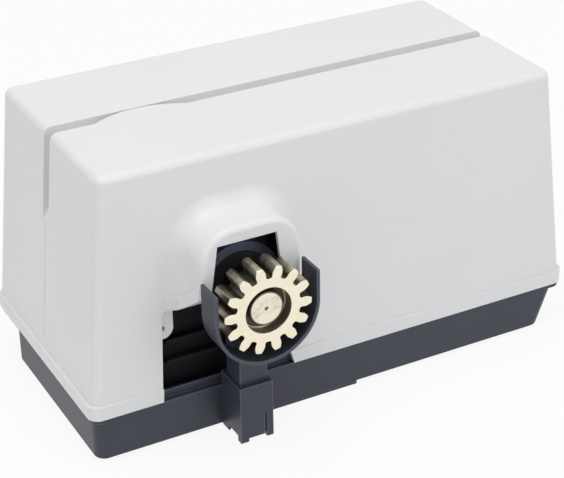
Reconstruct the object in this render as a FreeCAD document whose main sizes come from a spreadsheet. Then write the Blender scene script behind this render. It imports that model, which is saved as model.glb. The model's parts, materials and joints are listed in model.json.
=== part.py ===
# Sliding gate motor: a worm gear motor under a moulded cover, with a rack pinion and its guard.
# X runs along the gate, -Y faces the rack, +Z is up. The origin is the middle of the four
# foundation bolt holes, on the plane that the base stands on. Everything is in millimetres.
import FreeCAD, Part
import math
import os
import Sketcher
from FreeCAD import Placement, Rotation, Vector

os.makedirs("parts", exist_ok=True)
doc = FreeCAD.newDocument("gate_motor")
sheet = doc.addObject("Spreadsheet::Sheet", "dims")

SIZES = {
    # base tub
    "base_left": 186.5, "base_right": 182.0, "base_right_foot": 170.5, "base_half_width": 75.5,
    "base_wall": 3.0, "base_floor": 4.0, "base_corner": 8.0, "base_edge": 2.0,
    "foot_height": 2.0, "base_top": 34.0, "rim_thickness": 3.0, "upstand_top": 40.0,
    "middle_foot_left": -90.0, "middle_foot_right": 12.2,
    # foundation bolts
    "bolt_spacing_x": 300.0, "bolt_spacing_y": 100.0, "bolt_hole": 11.0, "bolt_boss": 24.0,
    "bolt_boss_top": 12.0,
    # cable entry
    "gland_x": -158.0, "gland_y": 14.0, "gland_bore": 20.5, "gland_hex": 27.0,
    # cover
    "cover_length": 379.0, "cover_width": 181.0, "cover_front": -76.5, "cover_top": 205.0,
    "cover_wall": 3.0, "end_slope": 18.4, "side_slope": 6.8, "cover_corner": 7.0,
    "cover_edge": 5.5, "band_height": 10.0, "band_proud": 1.2, "cover_gap": 0.3, "upstand_gap": 1.0,
    # groove over the cover
    "groove_middle": 13.4, "groove_width": 10.4, "groove_depth": 7.0, "groove_end": 141.0,
    "groove_run_out": 14.0, "crease_width": 0.8, "crease_depth": 0.6, "crease_end": 52.0,
    "lobe_radius": 61.5, "lobe_middle": -106.5, "lobe_gap": 0.8,
    # openings in the cover front
    "window_left": -137.5, "window_lean": 3.5, "window_top": 101.5, "window_right": -38.5,
    "window_right_top": -46.0,
    "hood_half_width": 36.0, "hood_top": 166.5, "hood_front": -102.5, "hood_corner": 24.0,
    "hood_edge": 4.0, "hood_blend": 12.0, "port_middle": -85.2, "port_half_width": 21.3, "port_top": 156.3,
    "port_flare": 6.2,
    "lug_right": -126.0, "lug_low": 80.0, "lug_radius": 8.0, "lug_hole": 4.0,
    "window_corner": 4.0,
    "cover_screw_x": 120.0, "cover_screw_z": 39.3, "cover_screw": 4.0,
    # output
    "axis_x": -82.0, "axis_z": 114.0, "teeth": 14.0, "gear_module": 4.0, "gear_front": -124.0,
    "gear_width": 19.5, "gear_recess": 33.0, "gear_recess_depth": 9.0, "gear_chamfer": 0.3,
    "gear_fillet": 1.6, "gear_addendum": 3.4, "gear_shift": 0.6,
    "shaft_diameter": 24.0, "shaft_setback": 3.0, "running_clearance": 0.04,
    "ring_thickness": 1.6, "ring_height": 3.6, "key_width": 8.0, "key_height": 7.0,
    # guard and its socket
    "guard_inner": 35.2, "guard_wall": 2.3, "guard_drop": 2.0, "guard_top": 133.5,
    "guard_gap": 0.5, "stem_width": 20.5, "stem_depth": 20.0, "stem_wall": 2.2,
    "stem_fit": 0.35, "socket_wall": 1.7, "socket_front_wall": 3.1,
    "socket_top": 45.5, "socket_foot": 2.6, "socket_shelf": 20.0,
    # gearbox
    "box_left": -130.0, "box_right": -36.0, "box_front": -61.5, "box_rear": 8.0,
    "box_bottom": 19.5, "box_top": 160.0, "box_corner": 22.0, "nose_radius": 29.5,
    "nose_front": -83.0, "nose_bore": 47.0, "ledge_depth": 5.5, "ledge_height": 3.0,
    "flange_overhang": 11.0, "flange_thickness": 7.0, "gasket": 0.8, "lid_thickness": 7.0,
    "lid_boss": 27.0, "lid_boss_depth": 10.0, "foot_bolt": 6.0, "rail_width": 13.0,
    "seal_width": 7.0, "bearing_width": 14.0, "rear_bearing": 42.0, "rear_bearing_width": 12.0,
    "rear_journal": 20.0,
    # worm drive
    "worm_module": 2.5, "wheel_teeth": 30.0, "worm_radius": 12.0, "wheel_width": 14.0,
    "wheel_middle": -14.0, "backlash": 0.9, "worm_length": 42.0, "wheel_clearance": 3.0,
    "worm_tunnel": 17.5, "left_bearing": 32.0, "left_bearing_width": 9.0, "left_journal": 15.0,
    "right_bearing": 35.0, "right_bearing_width": 10.0, "rotor_shaft": 17.0,
    # motor
    "motor_radius": 44.0, "motor_wall": 4.0, "motor_length": 128.0, "fin_height": 4.0,
    "fin_width": 2.4, "fin_count": 28.0, "stack_length": 66.0, "stack_start": 4.0,
    "stack_bore": 25.0, "air_gap": 0.5, "winding_length": 18.0, "bell_thickness": 9.0,
    "bell_boss": 24.0,
    # electrics
    "board_length": 150.0, "board_width": 96.0, "board_thickness": 1.6, "board_left": -18.0,
    "board_height": 126.0, "tray_wall": 2.2, "tray_depth": 9.0, "tray_front": -68.8, "post": 9.0,
    "capacitor_radius": 17.5, "capacitor_length": 72.0, "capacitor_y": 53.0,
    "transformer_length": 46.0, "transformer_width": 58.0, "transformer_height": 50.0,
    # release
    "release_x": -58.0, "release_y": -44.0, "release_shaft": 10.0, "release_length": 52.0,
    "release_boss": 8.0, "lever_thickness": 5.0, "lever_gap": 0.5,
}


class Size:
    """A length with the sheet expression that gives it, so that sums stay bound to the sheet."""

    def __init__(self, value, text):
        self.value = value
        self.text = text

    def combine(self, other, sign, value):
        text = other.text if isinstance(other, Size) else repr(float(other))
        return Size(value, "(%s %s %s)" % (self.text, sign, text))

    def __add__(self, other):
        return self.combine(other, "+", self.value + number(other))

    def __sub__(self, other):
        return self.combine(other, "-", self.value - number(other))

    def __mul__(self, other):
        return self.combine(other, "*", self.value * number(other))

    def __truediv__(self, other):
        return self.combine(other, "/", self.value / number(other))

    def __neg__(self):
        return Size(-self.value, "(0 - %s)" % self.text)


def number(value):
    """The plain number of a Size or of a number."""
    return value.value if isinstance(value, Size) else float(value)


def size(value):
    """A Size from a plain number."""
    return value if isinstance(value, Size) else Size(float(value), repr(float(value)))


class Dims:
    """The sheet's values by name."""


dims = Dims()
for row, (alias, length) in enumerate(SIZES.items(), start=1):
    sheet.set("A%d" % row, alias)
    sheet.set("B%d" % row, str(length))
    sheet.setAlias("B%d" % row, alias)
    setattr(dims, alias, Size(length, "dims.%s" % alias))
doc.recompute()
ZERO = size(0.0)
MARGIN = 5.0      # how far a cutting tool reaches past what it cuts


# ---------------------------------------------------------------- drawing helpers

def bind(thing, name, value):
    """Tie one property to the sheet."""
    thing.setExpression(name, size(value).text)


def move(thing, x, y, z):
    """Tie an object's place to the sheet."""
    for axis, value in zip("xyz", (x, y, z)):
        bind(thing, "Placement.Base.%s" % axis, value)


def origin_plane(body, role):
    return next(item for item in body.Origin.OriginFeatures if item.Role == role)


def new_body(name):
    return doc.addObject("PartDesign::Body", name)


def new_sketch(body, name, plane, at):
    """A sketch on a plane of the body's own origin: XY at height z, XZ at y, YZ at x."""
    sketch = body.newObject("Sketcher::SketchObject", name)
    sketch.AttachmentSupport = (origin_plane(body, "%s_Plane" % plane), [""])
    sketch.MapMode = "FlatFace"
    bind(sketch, "AttachmentOffset.Base.z", -size(at) if plane == "XZ" else at)
    return sketch


def fix_point(sketch, geometry, point, x=None, y=None):
    """Dimension one point from the sketch's origin."""
    for kind, value in (("DistanceX", x), ("DistanceY", y)):
        if value is None:
            continue
        constraint = Sketcher.Constraint(kind, -1, 1, geometry, point, number(value))
        index = sketch.addConstraint(constraint)
        sketch.setExpression("Constraints[%d]" % index, size(value).text)


def draw_outline(sketch, corners):
    """A closed loop of straight lines through dimensioned corners."""
    points = [Vector(number(x), number(y), 0) for x, y in corners]
    lines = [Part.LineSegment(a, b) for a, b in zip(points, points[1:] + points[:1])]
    first = sketch.addGeometry(lines)[0]
    count = len(corners)
    for step in range(count):
        following = first + (step + 1) % count
        sketch.addConstraint(Sketcher.Constraint("Coincident", first + step, 2, following, 1))
    for step, (x, y) in enumerate(corners):
        fix_point(sketch, first + step, 1, x, y)


def draw_rectangle(sketch, x_span, y_span):
    (left, right), (low, high) = x_span, y_span
    draw_outline(sketch, [(left, low), (right, low), (right, high), (left, high)])


def draw_circle(sketch, x, y, radius):
    centre = Vector(number(x), number(y), 0)
    circle = Part.Circle(centre, Vector(0, 0, 1), number(radius))
    index = sketch.addGeometry(circle)
    fix_point(sketch, index, 3, x, y)
    constraint = sketch.addConstraint(Sketcher.Constraint("Radius", index, number(radius)))
    sketch.setExpression("Constraints[%d]" % constraint, size(radius).text)


def draw_rounded(sketch, x_span, y_span, radius):
    """A rectangle with four equal round corners, drawn counterclockwise from the lower left."""
    left, right, low, high, r = (number(v) for v in (*x_span, *y_span, radius))
    up = Vector(0, 0, 1)
    sides = [((left + r, low), (right - r, low)), ((right, low + r), (right, high - r)),
             ((right - r, high), (left + r, high)), ((left, high - r), (left, low + r))]
    centres = [(right - r, low + r), (right - r, high - r), (left + r, high - r), (left + r, low + r)]
    for step in range(4):
        start, end = (Vector(*point, 0) for point in sides[step])
        sketch.addGeometry(Part.LineSegment(start, end))
        turn = Part.Circle(Vector(*centres[step], 0), up, r)
        opening = math.pi / 2 * (step - 1)
        sketch.addGeometry(Part.ArcOfCircle(turn, opening, opening + math.pi / 2))
    for step in range(4):
        line, arc, following = 2 * step, 2 * step + 1, (2 * step + 2) % 8
        sketch.addConstraint(Sketcher.Constraint("Tangent", line, 2, arc, 1))
        sketch.addConstraint(Sketcher.Constraint("Tangent", arc, 2, following, 1))
    for line, kind in ((0, "Horizontal"), (2, "Vertical"), (4, "Horizontal"), (6, "Vertical")):
        sketch.addConstraint(Sketcher.Constraint(kind, line))
    fix_point(sketch, 0, 1, y=y_span[0])
    fix_point(sketch, 2, 1, x=x_span[1])
    fix_point(sketch, 4, 1, y=y_span[1])
    fix_point(sketch, 6, 1, x=x_span[0])
    for arc in (3, 5, 7):
        sketch.addConstraint(Sketcher.Constraint("Equal", 1, arc))
    index = sketch.addConstraint(Sketcher.Constraint("Radius", 1, r))
    sketch.setExpression("Constraints[%d]" % index, size(radius).text)


def extrude(body, sketch, length, plane, cut=False):
    """Pad or pocket a sketch towards the positive side of its plane."""
    kind = "PartDesign::Pocket" if cut else "PartDesign::Pad"
    feature = body.newObject(kind, sketch.Name + ("_cut" if cut else "_pad"))
    feature.Profile = sketch
    bind(feature, "Length", length)
    backwards = plane == "XZ"
    feature.Reversed = (not backwards) if cut else backwards
    return feature


def slab(body, name, plane, span, draw, *figure, cut=False):
    """Sketch a figure at the start of a span along the plane's axis, and pad or cut the span."""
    sketch = new_sketch(body, name, plane, span[0])
    draw(sketch, *figure)
    return extrude(body, sketch, size(span[1]) - span[0], plane, cut)


def draw_trapezoid(sketch, low, high):
    """A figure with level top and bottom, each end given as (height, span)."""
    (low_z, low_span), (high_z, high_span) = low, high
    draw_outline(sketch, [(low_span[0], low_z), (low_span[1], low_z),
                          (high_span[1], high_z), (high_span[0], high_z)])


def tapered_block(body, name, low, high):
    """A block with flat sloping sides between two rectangles, each (height, x span, y span)."""
    (low_z, low_x, low_y), (high_z, high_x, high_y) = low, high
    slab(body, name, "XZ", low_y, draw_trapezoid, (low_z, low_x), (high_z, high_x))
    for side, past in ((0, -MARGIN), (1, MARGIN)):
        foot, head = size(low_y[side]), size(high_y[side])
        slab(body, "%s_side_%d" % (name, side), "YZ", (low_x[0] - MARGIN, low_x[1] + MARGIN),
             draw_outline, [(foot, low_z), (head, high_z), (head, high_z + MARGIN),
                            (foot + past, high_z + MARGIN), (foot + past, low_z)], cut=True)


def edges_where(shape, test):
    """Names of the edges whose middle point passes a test."""
    names = []
    for index, edge in enumerate(shape.Edges, start=1):
        middle = edge.valueAt((edge.FirstParameter + edge.LastParameter) / 2)
        if test(middle, edge):
            names.append("Edge%d" % index)
    return names


def rises(middle, edge):
    """True for an edge that runs upwards."""
    return abs(edge.tangentAt(edge.FirstParameter).z) > 0.9


def round_edges(body, name, radius, test, kind="PartDesign::Fillet"):
    """Fillet or chamfer the edges of the body's last feature that pass a test."""
    doc.recompute()
    base = body.Tip
    feature = body.newObject(kind, name)
    feature.Base = (base, edges_where(base.Shape, test))
    bind(feature, "Size" if kind.endswith("Chamfer") else "Radius", radius)
    return feature


def box(name, x_span, y_span, z_span):
    """A rectangular block between three spans."""
    block = doc.addObject("Part::Box", name)
    for side, span in zip(("Length", "Width", "Height"), (x_span, y_span, z_span)):
        bind(block, side, size(span[1]) - span[0])
    move(block, x_span[0], y_span[0], z_span[0])
    return block


TURNS = {"X": Rotation(Vector(0, 1, 0), 90), "Y": Rotation(Vector(1, 0, 0), -90),
         "Z": Rotation()}


def rod(name, axis, across, radius, span):
    """A cylinder along an axis: across gives its two other coordinates, in alphabetical order."""
    cylinder = doc.addObject("Part::Cylinder", name)
    cylinder.Placement = Placement(Vector(), TURNS[axis])
    bind(cylinder, "Radius", radius)
    bind(cylinder, "Height", size(span[1]) - span[0])
    a, b = across
    place = {"X": (span[0], a, b), "Y": (a, span[0], b), "Z": (a, b, span[0])}[axis]
    move(cylinder, *place)
    return cylinder


def fuse(name, *pieces):
    joined = doc.addObject("Part::MultiFuse", name)
    joined.Shapes = list(pieces)
    return joined


def cut(name, base, *tools):
    tool = tools[0] if len(tools) == 1 else fuse(name + "_tools", *tools)
    result = doc.addObject("Part::Cut", name)
    result.Base = base
    result.Tool = tool
    return result


def group(name, pieces):
    """Identical loose pieces that share a node."""
    together = doc.addObject("Part::Compound", name)
    together.Links = list(pieces)
    return together


def tube(name, axis, across, outer, inner, span):
    """A cylinder with a bore."""
    past = (size(span[0]) - MARGIN, size(span[1]) + MARGIN)
    return cut(name, rod(name + "_outside", axis, across, outer, span),
               rod(name + "_bore", axis, across, inner, past))


def screw(name, axis, across, start, direction, thread, length, head):
    """A cap screw whose head starts at a plane and whose shank runs along the direction."""
    thick = size(thread) * 0.8
    shank_end = size(start) + size(length) * direction
    head_end = size(start) - thick * direction
    shank = (start, shank_end) if direction > 0 else (shank_end, start)
    cap = (head_end, start) if direction > 0 else (start, head_end)
    socket_start = head_end + thick * 0.6 * direction
    socket_past = head_end - size(direction)
    key = (socket_past, socket_start) if direction > 0 else (socket_start, socket_past)
    body = fuse(name + "_blank", rod(name + "_shank", axis, across, size(thread) / 2, shank),
                rod(name + "_cap", axis, across, size(head) / 2, cap))
    return cut(name, body, rod(name + "_socket", axis, across, size(head) / 4, key))


nodes = {}


def node(name, thing):
    """Name a finished sub-part."""
    thing.Label = name
    nodes[name] = thing
    return thing


# ---------------------------------------------------------------- places worked out once

base_low = dims.foot_height
floor_top = base_low + dims.base_floor
cover_half = dims.cover_length / 2
cover_rear = dims.cover_front + dims.cover_width
cover_low = dims.base_top + dims.cover_gap
gear_back = dims.gear_front + dims.gear_width
guard_back = dims.hood_front - dims.guard_gap
stem_front = guard_back + 3.0
gearbox_foot = dims.box_bottom - dims.flange_thickness
TOOTH_PHASE = 1.9    # degrees from +X of one pinion tooth
worm_axis_z = dims.axis_z - dims.worm_radius - dims.worm_module * dims.wheel_teeth / 2
wheel_pitch = dims.worm_module * dims.wheel_teeth / 2
wheel_tip = wheel_pitch + dims.worm_module
axis = (dims.axis_x, dims.axis_z)
worm_line = (dims.wheel_middle, worm_axis_z)
fit = dims.running_clearance
foot_left = dims.box_left - dims.flange_overhang / 2
foot_right = dims.box_right + dims.flange_overhang / 2
foot_bolt_spots = [(foot_left, dims.box_front + 10.0), (foot_left, dims.box_rear - 10.0),
                   (foot_right, dims.box_front + 10.0)]


# ---------------------------------------------------------------- base

def make_base():
    """A moulded tub with a rim that carries the cover, bolt bosses and feet."""
    body = new_body("base")
    left, right, half = -dims.base_left, dims.base_right, dims.base_half_width
    wall = dims.base_wall
    slab(body, "tub", "XZ", (-half, half), draw_trapezoid, (base_low, (left, dims.base_right_foot)),
         (dims.base_top - dims.rim_thickness, (left, right)))
    round_edges(body, "tub_corners", dims.base_corner, rises)
    round_edges(body, "tub_underside", dims.base_edge,
                lambda middle, edge: abs(middle.z - base_low.value) < 0.01)
    rim = (dims.base_top - dims.rim_thickness, dims.base_top)
    inset = dims.cover_gap + dims.band_proud
    slab(body, "rim", "XY", rim, draw_rounded, (-cover_half + inset, cover_half - inset),
         (-half, cover_rear - inset), dims.cover_corner)
    ring = dims.cover_wall + dims.band_proud + dims.upstand_gap
    slab(body, "upstand", "XY", (rim[0], dims.upstand_top), draw_rounded,
         (-cover_half + ring, cover_half - ring),
         (dims.cover_front + ring, cover_rear - ring), dims.cover_corner - dims.cover_wall)
    inner = ring + wall
    slab(body, "upstand_hollow", "XY", (rim[1], dims.upstand_top + MARGIN), draw_rounded,
         (-cover_half + inner, cover_half - inner),
         (dims.cover_front + inner, cover_rear - inner),
         dims.cover_corner - dims.cover_wall * 2, cut=True)
    slab(body, "tub_hollow", "XZ", (dims.cover_front + inner, half - wall), draw_trapezoid,
         (floor_top, (left + inner - inset, dims.base_right_foot - wall)),
         (rim[1], (left + inner - inset, right - wall)), cut=True)
    for side_x in (-0.5, 0.5):
        for side_y in (-0.5, 0.5):
            spot = (dims.bolt_spacing_x * side_x, dims.bolt_spacing_y * side_y)
            name = "bolt_%s%s" % ("l" if side_x < 0 else "r", "f" if side_y < 0 else "b")
            slab(body, name + "_boss", "XY", (ZERO, dims.bolt_boss_top), draw_circle,
                 *spot, dims.bolt_boss / 2)
            slab(body, name + "_hole", "XY", (ZERO - MARGIN, dims.bolt_boss_top + MARGIN),
                 draw_circle, *spot, dims.bolt_hole / 2, cut=True)
    slab(body, "middle_foot", "XY", (ZERO, base_low + 0.5), draw_rectangle,
         (dims.middle_foot_left, dims.middle_foot_right), (-half + 0.4, half - dims.base_edge))
    slab(body, "cable_entry", "XY", (ZERO, floor_top + MARGIN), draw_circle,
         dims.gland_x, dims.gland_y, dims.gland_bore / 2, cut=True)
    for place, x in enumerate((foot_left, foot_right)):
        slab(body, "gearbox_rail_%d" % place, "XY", (floor_top - 1.0, gearbox_foot), draw_rectangle,
             (x - dims.rail_width / 2, x + dims.rail_width / 2), (dims.box_front, dims.box_rear))
    for place, spot in enumerate(foot_bolt_spots):
        slab(body, "rail_thread_%d" % place, "XY", (floor_top, gearbox_foot + MARGIN), draw_circle,
             *spot, dims.foot_bolt / 2 + fit, cut=True)
    post_rear = cover_rear - ring - 0.5
    for place, side in enumerate((-1, 1)):
        x = dims.cover_screw_x * side
        slab(body, "screw_post_%d" % place, "XY", (rim[0], dims.cover_screw_z + 7.0), draw_rectangle,
             (x - 7.0, x + 7.0), (post_rear - 9.0, post_rear))
        slab(body, "screw_thread_%d" % place, "XZ", (post_rear - 6.0, post_rear + MARGIN), draw_circle,
             x, dims.cover_screw_z, dims.cover_screw / 2 + fit, cut=True)
    return node("base", body)


# ---------------------------------------------------------------- cover

def cover_span_x(inset):
    return (-cover_half + inset, cover_half - inset)


def cover_span_y(inset):
    return (dims.cover_front + inset, cover_rear - inset)


def make_cover_block(name, inset, corner, edge, hood_inset, hood_corner):
    """The tapered outside of the cover with its hood, or the same shape set in by the wall."""
    body = new_body(name)
    top = dims.cover_top - inset
    proud = dims.band_proud + inset
    tapered_block(body, name + "_taper", (cover_low, cover_span_x(proud), cover_span_y(proud)),
                  (top, cover_span_x(dims.end_slope + inset), cover_span_y(dims.side_slope + inset)))
    round_edges(body, name + "_corners", corner, rises)
    round_edges(body, name + "_top_edge", edge,
                lambda middle, line: abs(middle.z - top.value) < 0.01)
    half = dims.hood_half_width - hood_inset
    hood_top = dims.hood_top - hood_inset
    hood_low = dims.window_top - hood_inset * 6
    front = dims.hood_front + hood_inset
    slab(body, name + "_hood", "XZ", (front, dims.cover_front + 16.0), draw_rectangle,
         (dims.axis_x - half, dims.axis_x + half), (hood_low, hood_top))

    def upper_corner(middle, line):
        along = abs(line.tangentAt(line.FirstParameter).y) > 0.99
        side = abs(abs(middle.x - dims.axis_x.value) - half.value) < 0.01
        return along and side and abs(middle.z - hood_top.value) < 0.01

    round_edges(body, name + "_hood_corners", hood_corner, upper_corner)

    def hood_foot(middle, line):
        beside = abs(middle.x - dims.axis_x.value) < half.value + 0.01
        leaning = abs(middle.y - dims.cover_front.value) < 12.0 and middle.y > front.value + 1.0
        along = abs(line.tangentAt(line.FirstParameter).y) < 0.9
        return beside and leaning and along and hood_low.value + 1.0 < middle.z < top.value - 20.0

    round_edges(body, name + "_hood_blend", dims.hood_blend + hood_inset, hood_foot)
    return body, front


def groove_path(extra):
    """The section of the groove tool along the cover: over the top and down both ends."""
    depth = dims.groove_depth + extra
    end_low = dims.groove_end - extra
    run_out = end_low + dims.groove_run_out
    slope = dims.end_slope / (dims.cover_top - cover_low)
    past = MARGIN * 2
    top_x = cover_half - dims.end_slope

    def face(height):
        return cover_half - dims.band_proud - slope * (height - cover_low)

    right = [(face(end_low) + past, end_low), (face(end_low) + 0.2, end_low),
             (face(run_out) - depth, run_out), (top_x - depth, dims.cover_top - depth)]
    left = [(-x, z) for x, z in reversed(right)]
    return right + left + [(-face(end_low) - past, dims.cover_top + past),
                           (face(end_low) + past, dims.cover_top + past)]


def plane_block(name, plane, span, corners):
    """A loose block with a dimensioned outline, for cutting."""
    body = new_body(name)
    slab(body, name + "_outline", plane, span, draw_outline, corners)
    return body


def make_cover():
    """The white cover: a tapered shell with a hood over the pinion and a groove over the top."""
    outside, hood_front = make_cover_block(
        "cover_outside", ZERO, dims.cover_corner, dims.cover_edge, ZERO, dims.hood_corner)
    round_edges(outside, "hood_front_edge", dims.hood_edge,
                lambda middle, line: abs(middle.y - hood_front.value) < 0.01
                and middle.z > dims.window_top.value + 1.0)
    slab(outside, "band", "XY", (cover_low, cover_low + dims.band_height), draw_rounded,
         cover_span_x(ZERO), cover_span_y(ZERO), dims.cover_corner + dims.band_proud)
    core, _ = make_cover_block(
        "cover_core", dims.cover_wall, dims.cover_corner - dims.cover_wall,
        dims.cover_edge - dims.cover_wall, dims.cover_wall, dims.hood_corner - dims.cover_wall)
    half_groove = dims.groove_width / 2
    rib_half = half_groove + dims.cover_wall
    rib = plane_block("groove_rib", "XZ", (dims.groove_middle - rib_half,
                                           dims.groove_middle + rib_half),
                      groove_path(dims.cover_wall))
    shell = cut("cover_shell", outside, cut("cover_hollow", core, rib))
    groove_rear = dims.groove_middle + half_groove
    channel = plane_block("groove_channel", "XZ", (dims.groove_middle - half_groove, groove_rear),
                          groove_path(ZERO))
    lobe = rod("lobe", "Z", (dims.lobe_middle, groove_rear - dims.lobe_gap - dims.lobe_radius),
               dims.lobe_radius, (dims.cover_top - dims.groove_depth * 2, dims.cover_top + 20.0))
    groove = cut("groove", channel, lobe)
    through = (dims.cover_front - MARGIN, dims.cover_front + 14.0)
    window = plane_block(
        "window", "XZ", through,
        [(dims.window_left, cover_low - MARGIN), (dims.window_right, cover_low - MARGIN),
         (dims.window_right, cover_low), (dims.window_right_top, dims.window_top - 40.0),
         (dims.window_right_top, dims.window_top),
         (dims.window_left + dims.window_lean, dims.window_top), (dims.window_left, cover_low)])
    round_edges(window, "window_corner", dims.window_corner,
                lambda middle, line: abs(middle.z - dims.window_top.value) < 0.01
                and middle.x < dims.window_left.value + dims.window_lean.value + 0.1)
    port_low = dims.window_top - MARGIN
    flare = dims.port_half_width + dims.port_flare
    port = plane_block(
        "port", "XZ", (dims.hood_front - MARGIN, dims.hood_front + dims.cover_wall + MARGIN),
        [(dims.port_middle - flare, port_low), (dims.port_middle + flare, port_low),
         (dims.port_middle + dims.port_half_width, dims.port_top),
         (dims.port_middle - dims.port_half_width, dims.port_top)])
    creases = []
    for side in (-1, 1):
        name = "crease_left" if side < 0 else "crease_right"
        slope = (dims.end_slope - dims.band_proud) / (dims.cover_top - cover_low)
        ends = []
        for height in (dims.crease_end, dims.groove_end + 1.0):
            skin = (cover_half - dims.band_proud - slope * (height - cover_low))
            ends.append(((skin + 1.0) * side, (skin - dims.crease_depth) * side, height))
        (low_out, low_in, low), (high_out, high_in, high) = ends
        creases.append(plane_block(
            name, "XZ", (dims.groove_middle - dims.crease_width / 2,
                         dims.groove_middle + dims.crease_width / 2),
            [(low_out, low), (low_in, low), (high_in, high), (high_out, high)]))
    screw_reach = (cover_rear - 12.0, cover_rear + MARGIN)
    screw_holes = [rod("cover_hole_%d" % place, "Y", (dims.cover_screw_x * side, dims.cover_screw_z),
                       dims.cover_screw / 2 + 0.2, screw_reach)
                   for place, side in enumerate((-1, 1))]
    opened = cut("cover_opened", shell, groove, window, port, *creases, *screw_holes)
    wall_inside = dims.cover_front + dims.band_proud + dims.cover_wall
    lug_span = (wall_inside + 0.6, wall_inside + 4.0)
    lug_eye_at = (dims.lug_right - dims.lug_radius, dims.lug_low + dims.lug_radius)
    lug_bar = box("lug_bar", (dims.window_left - 10.0, dims.lug_right), lug_span,
                  (lug_eye_at[1], dims.window_top + 3.0))
    lug_disc = rod("lug_disc", "Y", lug_eye_at, dims.lug_radius, lug_span)
    lug_heel = box("lug_heel", (dims.window_left - 10.0, lug_eye_at[0]), lug_span,
                   (dims.lug_low, lug_eye_at[1] + 1.0))
    lug = fuse("lug", lug_bar, lug_disc, lug_heel)
    lug_eye = rod("lug_eye", "Y", lug_eye_at, dims.lug_hole / 2,
                  (wall_inside - MARGIN, wall_inside + 4.0 + MARGIN))
    lip = box("window_lip", (dims.lug_right - 5.0, dims.axis_x - dims.hood_half_width + 0.5),
              (wall_inside - dims.cover_wall - 0.4, wall_inside - 0.5),
              (dims.window_top, dims.window_top + dims.band_height))
    return node("cover", fuse("cover_whole", opened, cut("lug_plate", lug, lug_eye), lip))


def make_cover_screws():
    screws = [screw("cover_screw_%d" % place, "Y",
                    (dims.cover_screw_x * side, dims.cover_screw_z), cover_rear, -1,
                    dims.cover_screw, 9.0, 6.6) for place, side in enumerate((-1, 1))]
    return node("cover_screws", group("cover_screw_pair", screws))


# ---------------------------------------------------------------- pinion and its shaft

def involute_point(base, radius, tooth_half, side):
    """A point on a tooth's flank: the involute of the base circle, placed about the x axis."""
    roll = math.sqrt(max((radius / base) ** 2 - 1.0, 0.0))
    angle = side * (tooth_half - (roll - math.atan(roll)))
    return Vector(radius * math.cos(angle), radius * math.sin(angle), 0)


def gear_outline(module, teeth, tip, shift, first_angle):
    """The wire of a spur gear with 20 degree involute teeth, in the XY plane."""
    pressure = math.radians(20)
    pitch = module * teeth / 2
    base = pitch * math.cos(pressure)
    root = pitch - 1.25 * module
    thickening = shift * math.tan(pressure) / pitch
    tooth_half = math.pi / (2 * teeth) + thickening + math.tan(pressure) - pressure
    steps = [base + (tip - base) * step / 4 for step in range(5)]
    edges = []
    for tooth in range(teeth):
        turn = Rotation(Vector(0, 0, 1), first_angle + 360.0 * tooth / teeth)
        rise = [turn.multVec(involute_point(base, radius, tooth_half, -1)) for radius in steps]
        fall = [turn.multVec(involute_point(base, radius, tooth_half, 1))
                for radius in reversed(steps)]
        foot = [turn.multVec(Vector(root * math.cos(a), root * math.sin(a), 0))
                for a in (-tooth_half, tooth_half, math.pi / teeth,
                          2 * math.pi / teeth - tooth_half)]
        crest = turn.multVec(Vector(tip, 0, 0))
        for flank in (rise, fall):
            curve = Part.BSplineCurve()
            curve.interpolate(flank)
            edges.append(curve.toShape())
        edges.append(Part.LineSegment(foot[0], rise[0]).toShape())
        edges.append(Part.Arc(rise[-1], crest, fall[0]).toShape())
        edges.append(Part.LineSegment(fall[-1], foot[1]).toShape())
        edges.append(Part.Arc(foot[1], foot[2], foot[3]).toShape())
    return Part.Wire(Part.__sortEdges__(edges))


def place_shape(name, shape, turn, x, y, z):
    """A loose shape that was drawn along Z, turned and moved to a place tied to the sheet."""
    loose = doc.addObject("Part::Feature", name)
    loose.Shape = shape
    loose.Placement = Placement(Vector(), turn)
    move(loose, x, y, z)
    return loose


def make_pinion():
    """The rack pinion, with a recess for the shaft's end and its retaining ring."""
    width = dims.gear_width.value
    tip = dims.gear_module.value * dims.teeth.value / 2 + dims.gear_addendum.value
    wire = gear_outline(dims.gear_module.value, int(dims.teeth.value), tip,
                        dims.gear_shift.value, TOOTH_PHASE)
    blank = Part.Face(wire).extrude(Vector(0, 0, width))
    root = dims.gear_module.value * (dims.teeth.value / 2 - 1.25)
    roots = [line for line in blank.Edges
             if abs(line.Length - width) < 0.01
             and abs(math.hypot(line.CenterOfMass.x, line.CenterOfMass.y) - root) < 0.01]
    blank = blank.makeFillet(dims.gear_fillet.value, roots)
    edge = dims.gear_chamfer.value
    cone_low = Part.makeCone(tip - edge, tip - edge + width, width)
    cone_high = Part.makeCone(tip - edge + width, tip - edge, width)
    blank = blank.common(cone_low).common(cone_high)
    teeth = place_shape("pinion_teeth", blank, TURNS["Y"], dims.axis_x, dims.gear_front,
                        dims.axis_z)
    bore = rod("pinion_bore", "Y", axis, dims.shaft_diameter / 2,
               (dims.gear_front - MARGIN, gear_back + MARGIN))
    recess = rod("pinion_recess", "Y", axis, dims.gear_recess / 2,
                 (dims.gear_front - MARGIN, dims.gear_front + dims.gear_recess_depth))
    keyway = key_block("pinion_keyway", (dims.gear_front - MARGIN, gear_back + MARGIN))
    return node("pinion", cut("pinion_cut", teeth, bore, recess, keyway))


def key_block(name, y_span):
    """The room that a parallel key takes, half in the shaft and half in the hub."""
    half = dims.key_width / 2
    low = dims.axis_z + dims.shaft_diameter / 2 - dims.key_height / 2 - 0.5
    return box(name, (dims.axis_x - half, dims.axis_x + half), y_span, (low, low + dims.key_height))


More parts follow.
